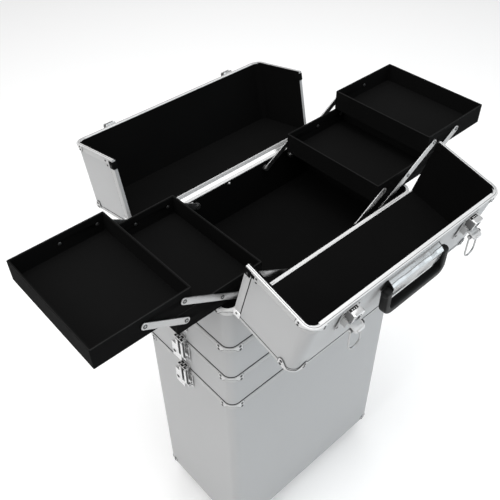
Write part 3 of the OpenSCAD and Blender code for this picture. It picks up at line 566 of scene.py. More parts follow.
case_run = plan_loop(CASE_L, CASE_D, CORNER_R)
stack_bands = Piece("stack_bands")
for seam in SEAMS:
    edging(stack_bands, move(z=seam), case_run, BAND, True)
stack_bands.done("trunk", "band_aluminium", "edge_aluminium", "stack_rims", 30)
top_band = Piece("top_case_band")
edging(top_band, move(z=RIM_Z), case_run, BAND, True)
top_band.done("trunk", "edge_aluminium", stands_for="top_case_rim", crease=30)
lining_edge = Piece("top_case_lining_edge")
edging(lining_edge, move(z=RIM_Z), case_run[len(case_run)//2:], LINING_EDGE, False)
lining_edge.done("trunk", "lining")
seam_shadow_lines, foot_shadow_lines = Piece("seam_gap_shadow_lines"), Piece("band_foot_shadow_lines")
for level in (RIM_Z, *SEAMS):
    edging(foot_shadow_lines, move(z=level - RIM_H), case_run, FOOT_SHADOW_LINE, True)
# Black strips in the seams: painted shade of the gaps between layers
for seam in SEAMS:
    edging(seam_shadow_lines, move(z=seam), case_run, SEAM_SHADOW_LINE, True)
seam_shadow_lines.done("trunk", "grip_black")
foot_shadow_lines.done("trunk", "rivet_steel", "edge_aluminium")
BAND_PIECES = ("bands", "band_shadow_lines", "lip_shadow_lines")
for lid, place in LIDS.items():
    bands, lid_shadow_lines, lip_shadow_lines = [Piece(f"{lid}_{name}") for name in BAND_PIECES]
    # Dark strips of painted shadow under the lid's band and along its floor angle
    edging(lid_shadow_lines, place @ move(z=LID_TOP - RIM_H), lid_run(), FOOT_SHADOW_LINE, False)
    edging(lip_shadow_lines, place @ move(z=LID_TOP), lid_run(), LIP_SHADOW_LINE, False)
    lip_shadow_lines.done(lid, "rivet_steel", "edge_aluminium")
    upended = place @ move(z=LID_FLOOR + ANGLE_H) @ flip(z=-1)
    edging(lid_shadow_lines, upended, lid_run(), FOOT_SHADOW_LINE, False)
    lid_shadow_lines.done(lid, "tray_black", "edge_aluminium")
    edging(bands, place @ move(z=LID_TOP), lid_run(), LID_BAND, False)
    edging(bands, place @ move(z=LID_FLOOR), lid_run(), ANGLE, False)
    for side in (1, -1):
        bands.block(place @ flip(x=side), (LID_L/2 + SKIN, -LID_CLEAR - RIM_H, LID_FLOOR),
                    (LID_L/2 + SKIN + ANGLE_T, -LID_CLEAR, LID_TOP), 0.3)
    bands.done(lid, "band_aluminium", "edge_aluminium", f"{lid}_rim", 30)

# Crescent clips on the corners, each with two riveted tabs

# The clips' dark border, reaching past them by a line's width, is painted shadow
CLIP_T, CLIP_BAND, CLIP_BULGE, CLIP_EDGE, CLIP_STEP, CLIP_SHADOW_LINE = 0.8, 2.6, 0.2, 0.25, 0.75, 0.9
TAB_L, TAB_H, LID_TAB_H, TAB_ROUND = 8.5, 12.0, 8.5, 2.6
CLIP_PIECES = ("sheets", "rivets", "shadow_borders")
QUARTERS = [flip(x, y) for x in (1, -1) for y in (1, -1)]


def clip_point(length, depth, radius, along):
    """Point and outward direction on a plan's corner, along mm from the middle of its arc."""
    arc = radius*math.pi/4
    if along < -arc:
        return Vector((length/2 - radius + along + arc, depth/2, 0)), Vector((0, 1, 0))
    if along > arc:
        return Vector((length/2, depth/2 - radius - along + arc, 0)), Vector((1, 0, 0))
    a = math.pi/4 - along/radius
    out = Vector((math.cos(a), math.sin(a), 0))
    return Vector((length/2 - radius, depth/2 - radius, 0)) + out*radius, out


def smooth_step(value):
    """0 up to 0, 1 from 1 on, and a smooth rise between them."""
    value = min(max(value, 0.0), 1.0)
    return value*value*(3 - 2*value)


def corner_clip(pieces, place, length, depth, proud, tab_h=TAB_H):
    """A clip over a thin dark border of painted shadow on the +X +Y corner of a plan, proud of it all round.

    The pieces are the sheet, the rivets and the border. The clip's upper edge is at the place's z = 0.
    """
    sheet, rivets, border = pieces
    length, depth, radius = length + 2*proud, depth + 2*proud, CORNER_R + proud
    arc = radius*math.pi/4
    reach = arc + TAB_L
    columns = [-reach + CLIP_STEP*i for i in range(int(reach/CLIP_STEP))]
    columns += [-x for x in reversed(columns)]
    columns = [-reach - CLIP_SHADOW_LINE, *columns, reach + CLIP_SHADOW_LINE]
    sections, under = [], []
    for along in columns:
        far = abs(along)
        point, out = clip_point(length, depth, radius, along)
        deep = CLIP_BAND + (tab_h - CLIP_BAND)*smooth_step((far - 0.35*arc)/arc)
        past = max(0.0, far - reach + TAB_ROUND)
        lift = TAB_ROUND - math.sqrt(max(TAB_ROUND**2 - past**2, 0.0))
        top, low = -0.6*lift, lift - deep
        flat = CLIP_T - CLIP_EDGE
        profile = ((0, top), (flat, top), (CLIP_T, top - CLIP_EDGE), (CLIP_T + CLIP_BULGE, (top + low)/2),
                   (CLIP_T, low + CLIP_EDGE), (flat, low), (0, low))
        sections.append(section_at(place, point, out, profile))
        thin, head, foot = 0.4*CLIP_T, top - 0.1, low - CLIP_SHADOW_LINE
        profile = ((0, head), (thin, head), (thin, foot), (0, foot))
        under.append(section_at(place, point, out, profile))
    sheet.loft(sections[1:-1])
    border.loft(under)
    for along in (-arc - TAB_L/2, arc + TAB_L/2):
        point, out = clip_point(length, depth, radius, along)
        for z in (-tab_h/4, -3*tab_h/4):
            head = point + out*CLIP_T + Vector((0, 0, z))
            rivets.rivet(place @ facing(head, out), 0.18*tab_h, 0.8)


clips, clip_rivets, clip_shadow_borders = [Piece(f"corner_clip_{name}") for name in CLIP_PIECES]
for level in (RIM_Z, *SEAMS):
    for quarter in QUARTERS:
        pieces = (clips, clip_rivets, clip_shadow_borders)
        corner_clip(pieces, quarter @ move(z=level), CASE_L, CASE_D, RIM_T + SKIN)
clips.done("trunk", "edge_aluminium", "bright_metal", "corner_clips")
guards = Piece("bottom_guard_sheets")
for quarter in QUARTERS:
    pieces = (guards, clip_rivets, clip_shadow_borders)
    corner_clip(pieces, quarter @ move(z=BIN_Z + SEAM_H) @ flip(z=-1), CASE_L, CASE_D, SKIN)
guards.done("trunk", "bright_metal", stands_for="bottom_corner_guards")
# The clip rivets are black: painted dark reflection, for the dark specks their polished heads show
clip_rivets.done("trunk", "fork_black", "bright_metal")
clip_shadow_borders.done("trunk", "fork_black", "bright_metal")

# Lids: their clips, lips, welts, end inserts, wraps and edge lines

LIP_T, INSERT_T, WRAP_T = 0.9, 0.9, 0.7
for lid, place in LIDS.items():
    lid_clips, lid_rivets, lid_shadow_borders = [Piece(f"{lid}_clip_{name}") for name in CLIP_PIECES]
    for side in (1, -1):
        pieces = (lid_clips, lid_rivets, lid_shadow_borders)
        at_corner = place @ flip(x=side, y=-1)
        corner_clip(pieces, at_corner @ move(z=LID_TOP), LID_L, 2*LID_H, RIM_T + SKIN, LID_TAB_H)
        upended = at_corner @ move(z=LID_FLOOR) @ flip(z=-1)
        corner_clip(pieces, upended, LID_L, 2*LID_H, ANGLE_T + 2*SKIN)
    lid_clips.done(lid, "edge_aluminium", "bright_metal", f"{lid}_corner_clips")
    lid_shadow_borders.done(lid, "fork_black", "bright_metal")

    # Inner lips of the long edge and the hinge edge, and a lining's welt along each end
    lips = Piece(f"{lid}_lips")
    edging(lips, place @ move(z=LID_TOP), lid_run(), LIP, False)
    inner = LID_L/2 - WALL - 0.2
    lip_end = inner - CORNER_R + WALL
    lips.block(place, (-lip_end, -LID_H + LID_LIP - 0.4, LID_TOP - RIM_T),
               (lip_end, -LID_H + WALL + 1.2, LID_TOP), 0.4)
    hinge_floor = LID_FLOOR + WALL + SKIN + LINING_T
    lips.block(place, (-inner + 1.4, -HINGE_LIP, hinge_floor),
               (inner - 1.4, -LID_CLEAR, hinge_floor + LIP_T), 0.3)
    lips.block(place, (-inner, -LID_CLEAR - 0.7, LID_FLOOR + 0.3),
               (inner, -LID_CLEAR + 0.25, hinge_floor + LIP_T), 0.3)
    lips.done(lid, "edge_aluminium")
    welts = Piece(f"{lid}_welts")
    for side in (1, -1):
        welts.block(place @ flip(x=side), (LID_L/2 - WALL - LINING_T, -LID_H + WALL, LID_TOP - 1.4),
                    (LID_L/2 - LID_LIP, -LID_CLEAR - 0.5, LID_TOP - 0.1), 0.3)
    welts.done(lid, "lining")

    # Black end inserts under the lip, bright wraps at the hinge corners, and painted-shadow lines along the
    # edges
    inserts, wraps, lines = [Piece(f"{lid}_{name}") for name in ("end_inserts", "hinge_wraps", "edge_shadow_lines")]
    skin_x = LID_L/2 + SKIN + ANGLE_T
    for side in (1, -1):
        end = place @ flip(x=side)
        inserts.block(end, (LID_L/2 - WALL - 1.2, -LID_CLEAR - 9, LID_TOP - 14),
                      (skin_x + INSERT_T, -LID_CLEAR + 0.7, LID_TOP - 3), 0.5)
        # On the front lid, a second black patch beside the insert: painted dark reflection of the chrome
        # corner
        if lid == "front_lid":
            inserts.block(end, (LID_L/2 - 1.2, -LID_CLEAR - 15, LID_TOP - 9.5),
                          (skin_x + 0.8, -LID_CLEAR - 8, LID_TOP - 3.5), 0.5)
        wraps.block(end, (LID_L/2, -LID_CLEAR - RIM_H - 1.5, LID_FLOOR),
                    (skin_x + WRAP_T, -LID_CLEAR, LID_FLOOR + 12), 0.4)
        # Dark strip under the end band: painted shadow
        lines.block(end, (LID_L/2 - 0.2, -LID_CLEAR - RIM_H - 0.9, LID_FLOOR + ANGLE_H),
                    (LID_L/2 + 0.5, -LID_CLEAR - RIM_H, LID_TOP - RIM_H), 0.2)
        for x, back, z, radius, height in ((skin_x + INSERT_T, 4.2, LID_TOP - 9.5, 1.6, 0.9),
                                           (skin_x + WRAP_T, 5.5, LID_FLOOR + 7, 1.5, 0.8),
                                           (LID_L/2 + RIM_T + SKIN, 18, LID_TOP - 5, 1.5, 0.8),
                                           (LID_L/2, 18, LID_TOP - 13, 1.5, 0.8)):
            lid_rivets.rivet(end @ facing((x, -LID_CLEAR - back, z), (1, 0, 0)), radius, height)
    inserts.done(lid, "tray_black", "grip_black")
    wraps.done(lid, "bright_metal")
    lines.done(lid, "tray_black", "grip_black")
    # The lid's rivets are black, like the clip rivets: painted dark reflection
    lid_rivets.done(lid, "fork_black", "bright_metal")

# Trays: a bead along the outer edge of the walls, in a lighter black than the trays: painted highlight of
# their top edges

BEAD_R = 0.8
for hand, side in SIDES.items():
    for level, x, z in (("inner", INNER_X, INNER_Z), ("outer", OUTER_X, OUTER_Z)):
        bead = Piece(f"{hand}_{level}_tray_bead")
        outline = rounded(TRAY_L - 2*BEAD_R, TRAY_W - 2*BEAD_R, 1.0, 3)
        path = [side @ Vector((x + px, py, z + TRAY_H - 0.7*BEAD_R)) for px, py in outline]
        bead.sweep(path, circle(BEAD_R, 8), (0, 0, 1), True)
        bead.done(f"{hand}_{level}_tray", "grip_black", "tray_black")

# Bolts inside the case's rear wall, and the raised plates of the rear lid's catches

BOLTS_X, BOLT_DOWN = (-76.0, -4.5), 4.5
BOLT = ((2.3, -0.3), (2.3, 0.5), (1.9, 1.0), (1.2, 1.9), (0.5, 2.1))
bolts, plates = Piece("rear_wall_bolts"), Piece("catch_plates")
for x in BOLTS_X:
    on_lining = (x, CASE_D/2 - WALL - LINING_T - SKIN, RIM_Z - BOLT_DOWN)
    bolts.lathe(facing(on_lining, (0, -1, 0)), BOLT, 20)
bolts.done("trunk", "bright_metal")
for side in SIDES.values():
    at_catch = REAR_LID @ side @ move(LATCH_X, -LID_H - RIM_T - 2*SKIN, LID_TOP)
    outward = at_catch @ facing((0, 0, 0), (0, -1, 0))
    plates.slab(outward, rounded(CATCH_W, 6.0, 1.2), 0.1, 1.3, 0.25)
    plates.block(at_catch, (-CATCH_W/2, -CATCH_OUT + 0.4, 0), (CATCH_W/2, -CATCH_OUT + 1.6, 2.2), 0.4)
plates.done("rear_lid", "bright_metal")

# Arms with their rivets

ARM_REACH = math.hypot(ARM_DX, ARM_DZ)
ARM_ANGLE = math.degrees(math.atan2(ARM_DZ, ARM_DX))
ARM_GAP, TRAY_WALL, HEAD_GAP = 0.6, 3.0, 0.3
SHANK = ARM_GAP + TRAY_WALL + HEAD_GAP
PIN_RING = ((1.5, ARM_T - 0.2), (1.5, ARM_T + 0.45), (2.1, ARM_T + 0.8), (2.8, ARM_T + 0.5),
            (3.0, ARM_T - 0.2))
BORE_RING = ((2.7, ARM_T - 0.2), (2.7, ARM_T + 0.15), (4.2, ARM_T + 0.1), (4.2, ARM_T - 0.2))


def arm_pair(name, x, z, reach, pins_at, bores_at):
    """A front and a rear arm from a lower pivot, with pins and bores at distances along them."""
    strips, heads = Piece(f"{name}_strips"), Piece(f"{name}_rivets")
    side = SIDES[name.split("_")[0]]
    capsule = []
    for end, start in ((reach, -90), (0, 90)):
        for i in range(13):
            a = math.radians(start + 15*i)
            capsule.append((end + ARM_W/2*math.cos(a), ARM_W/2*math.sin(a)))
    for row in (1, -1):
        base = side @ flip(y=row) @ move(x, -ARM_FACE, z) @ turn(-ARM_ANGLE, "Y") @ turn(90, "X")
        strips.slab(base, capsule, 0, ARM_T, 0.35)
        for pin in pins_at:
            heads.hoop(base @ move(x=pin), PIN_RING, 20)
            strips.rivet(base @ move(x=pin, z=ARM_T), 1.4, 0.6)
            strips.lathe(base @ move(x=pin), [(2.5, 0.3), (2.5, -SHANK)], 20)
            heads.rivet(base @ move(x=pin, z=-SHANK) @ flip(z=-1), 2.6, 0.8)
        for bore in bores_at:
            heads.hoop(base @ move(x=bore), BORE_RING, 20)
    strips.done(name, "arm_steel", stands_for=name)
    heads.done(name, "rivet_steel", "arm_steel")


for hand in SIDES:
    base_z = INNER_Z + PIVOT_Z - ARM_DZ
    arm_pair(f"{hand}_long_arms", LONG_X, base_z, 2*ARM_REACH, (ARM_REACH, 2*ARM_REACH), (0,))
    arm_pair(f"{hand}_lower_arms", LONG_X - PIVOT_PITCH, base_z, ARM_REACH, (ARM_REACH,), (0,))
    tray_z = INNER_Z + PIVOT_Z
    arm_pair(f"{hand}_upper_arms", INNER_X + PIVOT_PITCH, tray_z, ARM_REACH, (0, ARM_REACH), ())

# Carry handle: a block in crumpled bright sheet with a long crease, and a square-shouldered grip.
# The seed keeps the crumple the same on each run.

AT_CARRY = FRONT_LID @ move(0, -LID_H - SKIN - CARRY_OUT, LID_TOP - CARRY_DOWN)
BLOCK_FACE, BLOCK_TOP, BLOCK_LOW = CARRY_OUT - BLOCK_D, BLOCK_H/2, -BLOCK_H/2
BLOCK_STEPS, CRUMPLE, CRUMPLE_SEED, FOLD_X, FOLD_YZ = 8, 2.0, 5, 0.07, 0.09
block_section = [(CARRY_OUT, BLOCK_TOP), (6.0, BLOCK_TOP - 0.6), (2.2, BLOCK_TOP - 2.0),
                 (1.6, BLOCK_TOP - 3.0), (1.0, BLOCK_TOP - 2.4), (BLOCK_FACE + 2.4, BLOCK_TOP - 4.4),
                 (BLOCK_FACE + 1.2, BLOCK_TOP - 6.0), (BLOCK_FACE + 0.6, 1.0),
                 (BLOCK_FACE, BLOCK_LOW + 1.6), (BLOCK_FACE + 1.6, BLOCK_LOW), (CARRY_OUT, BLOCK_LOW)]
block = Piece("carry_block")
noise.seed_set(CRUMPLE_SEED)
sections = []
for i in range(BLOCK_STEPS + 1):
    x = -BLOCK_L/2 + BLOCK_L*i/BLOCK_STEPS
    ring = []
    for j, (y, z) in enumerate(block_section):
        dent = Vector()
        if 0 < j < len(block_section) - 1:
            dent = CRUMPLE*noise.noise_vector(Vector((x*FOLD_X, y*FOLD_YZ, z*FOLD_YZ)))
        along = 0.0 if i in (0, BLOCK_STEPS) else 0.8*dent.x
        inward = Vector((along, abs(dent.y), -0.6*math.copysign(abs(dent.z), z)))
        ring.append(AT_CARRY @ (Vector((x, y, z)) + inward))
    sections.append(ring)
block.loft(sections)
block.done("front_lid", "crinkled_metal", "bright_metal", stands_for="carry_handle_plate", crease=3)
end_plates = Piece("carry_end_plates")
for side in (1, -1):
    end_plates.loft([[AT_CARRY @ Vector((side*x, y, z)) for y, z in block_section]
                     for x in (BLOCK_L/2 - 0.3, BLOCK_L/2 + 0.2)])
end_plates.done("front_lid", "grip_black")

AT_GRIP = AT_CARRY @ turn(90 - FRONT_OPEN, "X")
GRIP_ARM = (GRIP_L - BLOCK_L)/2 - 0.3
GRIP_BEND, GRIP_EDGE, GRIP_SWELL, PIN_R, PIN_L = 10.0, 2.6, 1.12, 2.5, 8.0
KNOB, KNOB_R, KNOB_SOFT = 11.0, 4.8, 2.2
grip_x, grip_z = GRIP_L/2 - GRIP_ARM/2, -GRIP_DROP + GRIP_BAR/2
path = []
for i in range(5):
    path.append((-grip_x, 0, (grip_z + GRIP_BEND)*i/5))
for i in range(9):
    a = math.pi + i/8*math.pi/2
    path.append((-grip_x + GRIP_BEND*(1 + math.cos(a)), 0, grip_z + GRIP_BEND*(1 + math.sin(a))))
path += [(-x, y, z) for x, y, z in reversed(path)]
grip = Piece("carry_grip")
swell = []
for p in path:
    near_pivot = smooth_step(1 + p[2]/(0.75*GRIP_DROP))
    swell.append(GRIP_SWELL + (KNOB/GRIP_D - GRIP_SWELL)*near_pivot)
grip.sweep([AT_GRIP @ Vector(p) for p in path], rounded(GRIP_ARM - 0.4, GRIP_D, GRIP_EDGE, 5),
           AT_GRIP.to_3x3() @ Vector((0, 1, 0)), swell=swell)
for side in (1, -1):
    at_boss = AT_GRIP @ move(x=side*grip_x) @ turn(side*90, "Y")
    half = GRIP_ARM/2
    grip.slab(at_boss, rounded(KNOB, KNOB, KNOB_R), -half, half, KNOB_SOFT)
    grip.lathe(at_boss, [(PIN_R, -half - PIN_L), (PIN_R, 0)], 20)
grip.done("carry_handle", "grip_black", stands_for="carry_handle_grip", crease=60)

# Lid latches: a capped lock with a black key slot in a ring and a comb on top, plate rivets,
# and a lever with a beaded edge, a rolled lip and a dark root whose plate is painted shade under the barrel

LOCK_W, LOCK_H, LOCK_D, LOCK_FRONT, CHEEK_H = 16.0, 14.0, 9.0, 3.6, 6.0
LEVER_W, LEVER_L, LEVER_T, BARREL_R, LATCH_PIN_R, BAIL_DOWN = 17.0, 17.0, 1.8, 2.6, 1.2, 10.0
PLATE_RIVET_X, PLATE_RIVETS_Z, LATCH_PLATE_T = 11.7, (-15.0, 16.0), 1.2
LOCK_PIECES = ("lock_caps", "lock_slots", "lock_shade_cheeks", "latch_rivets")
caps, slots, shade_cheeks, latch_rivets = [Piece(f"lid_{name}") for name in LOCK_PIECES]
for hand, side in SIDES.items():
    at_latch = FRONT_LID @ side @ move(LATCH_X, -LID_H - RIM_T - 2*SKIN - LEVER_OUT, LATCH_AXIS_W)
    lock_y, lock_z = LEVER_OUT - LOCK_D, CHEEK_H + LOCK_H/2
    lock_front = at_latch @ facing((0, lock_y, lock_z), (0, -1, 0))
    caps.slab(lock_front, rounded(LOCK_W + 0.7, LOCK_H + 0.8, 2.2), -LOCK_D + 1.5, LOCK_FRONT, 0.6)
    slots.slab(lock_front, rounded(2.2, 6.4, 0.8), LOCK_FRONT - 0.3, LOCK_FRONT + 0.25, 0.15)
    slots.hoop(lock_front, [(4.2, LOCK_FRONT - 0.3), (4.2, LOCK_FRONT + 0.2),
                            (4.8, LOCK_FRONT + 0.2), (4.8, LOCK_FRONT - 0.3)], 28)
    top = CHEEK_H + LOCK_H + 0.4
    comb = at_latch @ side
    slots.block(comb, (-8.0, LEVER_OUT - 5.6, top - 0.4), (4.6, LEVER_OUT - 1.6, top + 0.4), 0.2)
    for x in (-4.6, -1.6, 1.4):
        caps.block(comb, (x, LEVER_OUT - 5.2, top + 0.1), (x + 0.8, LEVER_OUT - 3.0, top + 0.7), 0.2)
    # Grey plates on the lock's sides: painted shade of its side faces
    for x in (-LOCK_W/2 - 0.25, LOCK_W/2 + 0.25):
        at_cheek = at_latch @ move(x, lock_y + (LOCK_D - LOCK_FRONT)/2, lock_z) @ turn(90, "Y")
        cheek = rounded(LOCK_H - 1.4, LOCK_D + LOCK_FRONT - 1.6, 1.2)
        shade_cheeks.slab(at_cheek, cheek, -0.25, 0.25, 0.1)
    for x in (-PLATE_RIVET_X, PLATE_RIVET_X):
        for z in PLATE_RIVETS_Z:
            on_plate = (x, LEVER_OUT - LATCH_PLATE_T, z)
            latch_rivets.rivet(at_latch @ facing(on_plate, (0, -1, 0)), 1.7, 0.8)

    at_lever = at_latch @ turn(90 - FRONT_OPEN - LEVER_LIFT, "X")
    lever, shade_root = Piece(f"{hand}_latch_plate"), Piece(f"{hand}_latch_shade_root")
    face = at_lever @ facing((0, LEVER_T - BARREL_R, -LEVER_L/2), (0, -1, 0))
    plate = rounded(LEVER_W, LEVER_L, 4.0, 8)
    lever.slab(face, plate, 0, LEVER_T, 0.4)
    lever.sweep([face @ Vector((x, y, LEVER_T)) for x, y in shrunk(plate, 0.9)], circle(0.75, 8),
                face.to_3x3() @ Vector((0, 0, 1)), closed=True)
    barrel = [(BARREL_R - 0.4, 0), (BARREL_R, 0.5), (BARREL_R, LEVER_W - 0.5), (BARREL_R - 0.4, LEVER_W)]
    lever.lathe(at_lever @ move(x=-LEVER_W/2) @ turn(90, "Y"), barrel, 24)
    lever.block(at_lever, (-LEVER_W/2, -BARREL_R, -BAIL_DOWN - 1.4),
                (LEVER_W/2, 0.2, -BAIL_DOWN + 1.4), 0.3)
    bail_x = LEVER_W/2 + 2.8
    at_bail = at_lever @ move(x=-bail_x, z=-BAIL_DOWN) @ turn(90, "Y")
    lever.lathe(at_bail, [(LATCH_PIN_R, 0), (LATCH_PIN_R, 2*bail_x)], 16)
    lip_x = LEVER_W/2 - 3.5
    lever.lathe(at_lever @ move(-lip_x, -BARREL_R - 0.9, 1.3 - LEVER_L) @ turn(90, "Y"),
                [(0.5, 0), (1.3, 0.6), (1.3, 2*lip_x - 0.6), (0.5, 2*lip_x)], 18)
    name = f"{hand}_lid_latch_lever"
    lever.done(name, "edge_aluminium", "bright_metal", name, 45)
    # Dark plate at the lever's root, under its barrel: painted shade
    shade_root.block(at_lever, (-LEVER_W/2 + 0.8, -BARREL_R - 0.5, -3.6),
               (LEVER_W/2 - 0.8, -BARREL_R + 0.4, 0.4), 0.3)
    for x in (-LEVER_W/2 - 1.4, LEVER_W/2 + 1.4):
        at_washer = at_lever @ move(x=x - 1.0, z=-BAIL_DOWN) @ turn(90, "Y")
        shade_root.lathe(at_washer, [(2.6, 0), (2.9, 0.4), (2.9, 1.6), (2.6, 2.0)], 18)
    shade_root.done(name, "rivet_steel", "bright_metal")
caps.done("front_lid", "bright_metal")
shade_cheeks.done("front_lid", "button_grey", "bright_metal")
slots.done("front_lid", "grip_black", "bright_metal")
latch_rivets.done("front_lid", "rivet_steel", "bright_metal")

# Side latches: plate rivets in rings, and on each lever two bright bars with dark troughs beside them
# under a toothed claw; the black troughs, and a black strip under the claw, are painted shade and dark
# reflection

SIDE_AXIS_DOWN, SIDE_LEVER_W, SIDE_LEVER_T, CLAW_TOP = 32.0, 18.0, 2.0, 9.1
BAR_Y, BAR_W, BAR_T, TEETH, EAR_T = 5.3, 4.6, 1.9, 5, 1.2
EAR_RIVETS = ((-11.6, -6.0, 1.0), (-11.6, -34.5, 1.0), (26.0, -50.0, 2.2), (17.5, -38.0, 1.4))
SHADE_TROUGHS = ((0.0, BAR_Y - BAR_W/2 + 0.1), (SIDE_LEVER_W/2 - 0.4, 0.7), (0.4 - SIDE_LEVER_W/2, 0.7))
plate_rivets = Piece("side_latch_rivets")
for level, seam in zip(LATCH_LEVELS, SEAMS):
    for hand, side in SIDES.items():
        at_seam = side @ move(z=seam)
        for y, z, r in EAR_RIVETS:
            on_ear = at_seam @ facing((SIDE_FACE + EAR_T, y, z), (1, 0, 0))
            plate_rivets.rivet(on_ear, r, 0.5*r)
            plate_rivets.hoop(on_ear, [(1.25*r, -0.1), (1.25*r, 0.15), (1.6*r, 0.15), (1.6*r, -0.1)], 24)
        name = f"{hand}_{level}_latch_lever"
        bars, shade_troughs = Piece(f"{name}_bars"), Piece(f"{name}_troughs")
        face_x, low = SIDE_AXIS_X + SIDE_LEVER_T, -SIDE_AXIS_DOWN + 1.0
        for y in (-BAR_Y, BAR_Y):
            bars.block(at_seam, (face_x - 0.3, y - BAR_W/2, low), (face_x + BAR_T, y + BAR_W/2, 1.4), 0.6)
        for y, half in SHADE_TROUGHS:
            shade_troughs.block(at_seam, (face_x - 0.6, y - half, low + 0.6),
                          (face_x + 0.35, y + half, 4.6), 0.2)
        shade_troughs.block(at_seam, (face_x - 5.4, -SIDE_LEVER_W/2 + 0.6, CLAW_TOP - 0.3),
                      (face_x + 2.2, SIDE_LEVER_W/2 - 0.6, CLAW_TOP + 0.35), 0.2)
        pitch = SIDE_LEVER_W/TEETH
        for i in range(TEETH):
            y = (i + 0.5)*pitch - SIDE_LEVER_W/2
            bars.block(at_seam, (face_x - 5.0 + 2.6*(i % 2), y - 0.3*pitch, CLAW_TOP - 0.4),
                       (face_x + 2.0 - 2.6*((i + 1) % 2), y + 0.3*pitch, CLAW_TOP + 1.2), 0.4)
            bars.rivet(at_seam @ facing((face_x + 2.0, y, CLAW_TOP - 1.6), (1, 0, 0)), 1.1, 0.7)
        bars.done(name, "bright_metal")
        shade_troughs.done(name, "grip_black", "bright_metal")
plate_rivets.done("trunk", "rivet_steel", "bright_metal")

# Hinge leaf rivets, on the case beside the leaves' stop tabs and on the lids

LEAF_RIVET_X, LEAF_RIVET_R, LEAF_RIVET_H = 18.0, 1.8, 0.7
hinge_rivets = Piece("hinge_base_rivets")
for row in (1, -1):
    for side in (1, -1):
        for x in (-LEAF_RIVET_X, LEAF_RIVET_X):
            on_leaf = (side*HINGE_X + x, row*(HINGE_Y - KNUCKLE_R + LEAF_T), RIM_Z - 11.5)
            hinge_rivets.rivet(facing(on_leaf, (0, row, 0)), LEAF_RIVET_R, LEAF_RIVET_H)
hinge_rivets.done("trunk", "bright_metal")
for lid, place in LIDS.items():
    leaf_rivets = Piece(f"{lid}_hinge_rivets")
    for side in (1, -1):
        for x in (-LEAF_RIVET_X, 0.0, LEAF_RIVET_X):
            on_leaf = (side*HINGE_X + x, -11.0, KNUCKLE_R - LEAF_T)
            leaf_rivets.rivet(place @ facing(on_leaf, (0, 0, -1)), LEAF_RIVET_R, LEAF_RIVET_H)
    leaf_rivets.done(lid, "bright_metal")

# Wheels with a grooved tread and a spoked hub

SPOKES = 6
for hand, side in SIDES.items():
    hub_place = side @ move(WHEEL_X, WHEEL_Y, WHEEL_D/2) @ turn(90, "Y")
    half, rim = WHEEL_W/2, WHEEL_D/2
    tread = [(HUB_D/2 + 0.05, -half), (rim - 2.2, -half), (rim - 0.6, -half + 0.9), (rim, -half + 2.6)]
    for groove in (-3.0, 3.0):
        tread += [(rim, groove - 0.9), (rim - 1.2, groove - 0.5),
                  (rim - 1.2, groove + 0.5), (rim, groove + 0.9)]
    tread += [(rim, half - 2.6), (rim - 0.6, half - 0.9), (rim - 2.2, half), (HUB_D/2 + 0.05, half)]
    tyre = Piece(f"{hand}_tyre_tread")
    tyre.hoop(hub_place, tread, 72)
    tyre.done(f"{hand}_wheel", "rubber", stands_for=f"{hand}_wheel_tyre")
    hub = Piece(f"{hand}_hub_spokes")
    hub_rim = [(9.6, -half), (HUB_D/2 - 0.4, -half), (HUB_D/2, -half + 0.5), (HUB_D/2, half - 0.5),
               (HUB_D/2 - 0.4, half), (9.6, half), (9.2, half - 0.8), (9.2, -half + 0.8)]
    hub_boss = [(3.06, -half), (5.6, -half), (6.0, -half + 0.6),
                (6.0, half - 0.6), (5.6, half), (3.06, half)]
    hub_web = [(5.8, -1.5), (9.4, -1.5), (9.4, 1.5), (5.8, 1.5)]
    hub.hoop(hub_place, hub_rim, 48)
    hub.hoop(hub_place, hub_boss, 36)
    hub.hoop(hub_place, hub_web, 48)
    for spoke in range(SPOKES):
        at_spoke = hub_place @ turn(360/SPOKES*spoke, "Z")
        hub.block(at_spoke, (5.6, -1.1, -half + 1.2), (9.6, 1.1, half - 1.2), 0.4)
    hub.done(f"{hand}_wheel", "button_grey", stands_for=f"{hand}_wheel_hub")

# Front feet: turned rubber with two grooves and a wide top

FOOT = ((11.5, 0), (12.6, 0.5), (13.1, 1.6), (13.5, 5.0), (12.9, 5.6), (12.9, 6.8), (13.8, 7.4),
        (15.2, 24.0), (14.6, 24.6), (14.6, 25.8), (15.5, 26.4), (16.6, 40.0), (17.0, 43.0), (17.0, 45.0))
feet = Piece("feet")
for side in (1, -1):
    feet.lathe(move(side*WHEEL_X, -WHEEL_Y, 0), FOOT, 48)
feet.done("trunk", "rubber", stands_for="front_feet")

# Pull handle: screws on the brackets, a collar on each tube's mouth, ribs under the grip

SCREW_X = 20.0
screws = Piece("pull_bracket_screws")
bracket_back = CASE_D/2 + SKIN + TUBE_OUT + TUBE_R + BRACKET_WALL
for x in (-SCREW_X, SCREW_X):
    on_bracket = facing((x, bracket_back, TUBE_TOP - 2*BRACKET_H + BRACKET_H/2), (0, 1, 0))
    screws.lathe(on_bracket, [(3.2, -0.2), (3.2, 0.5), (2.9, 1.0), (2.0, 1.3)], 24)
    for angle in (0, 90):
        screws.block(on_bracket @ turn(angle, "Z"), (-1.7, -0.35, 1.1), (1.7, 0.35, 1.45), 0.12)
screws.done("trunk", "bright_metal")
COLLAR = ((6.7, -4.0), (8.9, -4.0), (9.1, -3.4), (9.1, -0.6), (8.6, 0.4), (6.7, 0.6))
collars = Piece("pull_tube_collars")
for side in (1, -1):
    collars.hoop(move(side*TUBE_X, TUBE_Y, TUBE_TOP), COLLAR, 40)
collars.done("trunk", "grip_black")
RIB_PITCH, RIB_REACH, RIB_R = 4.6, 7.2, 0.9
ribs = Piece("pull_grip_ribs")
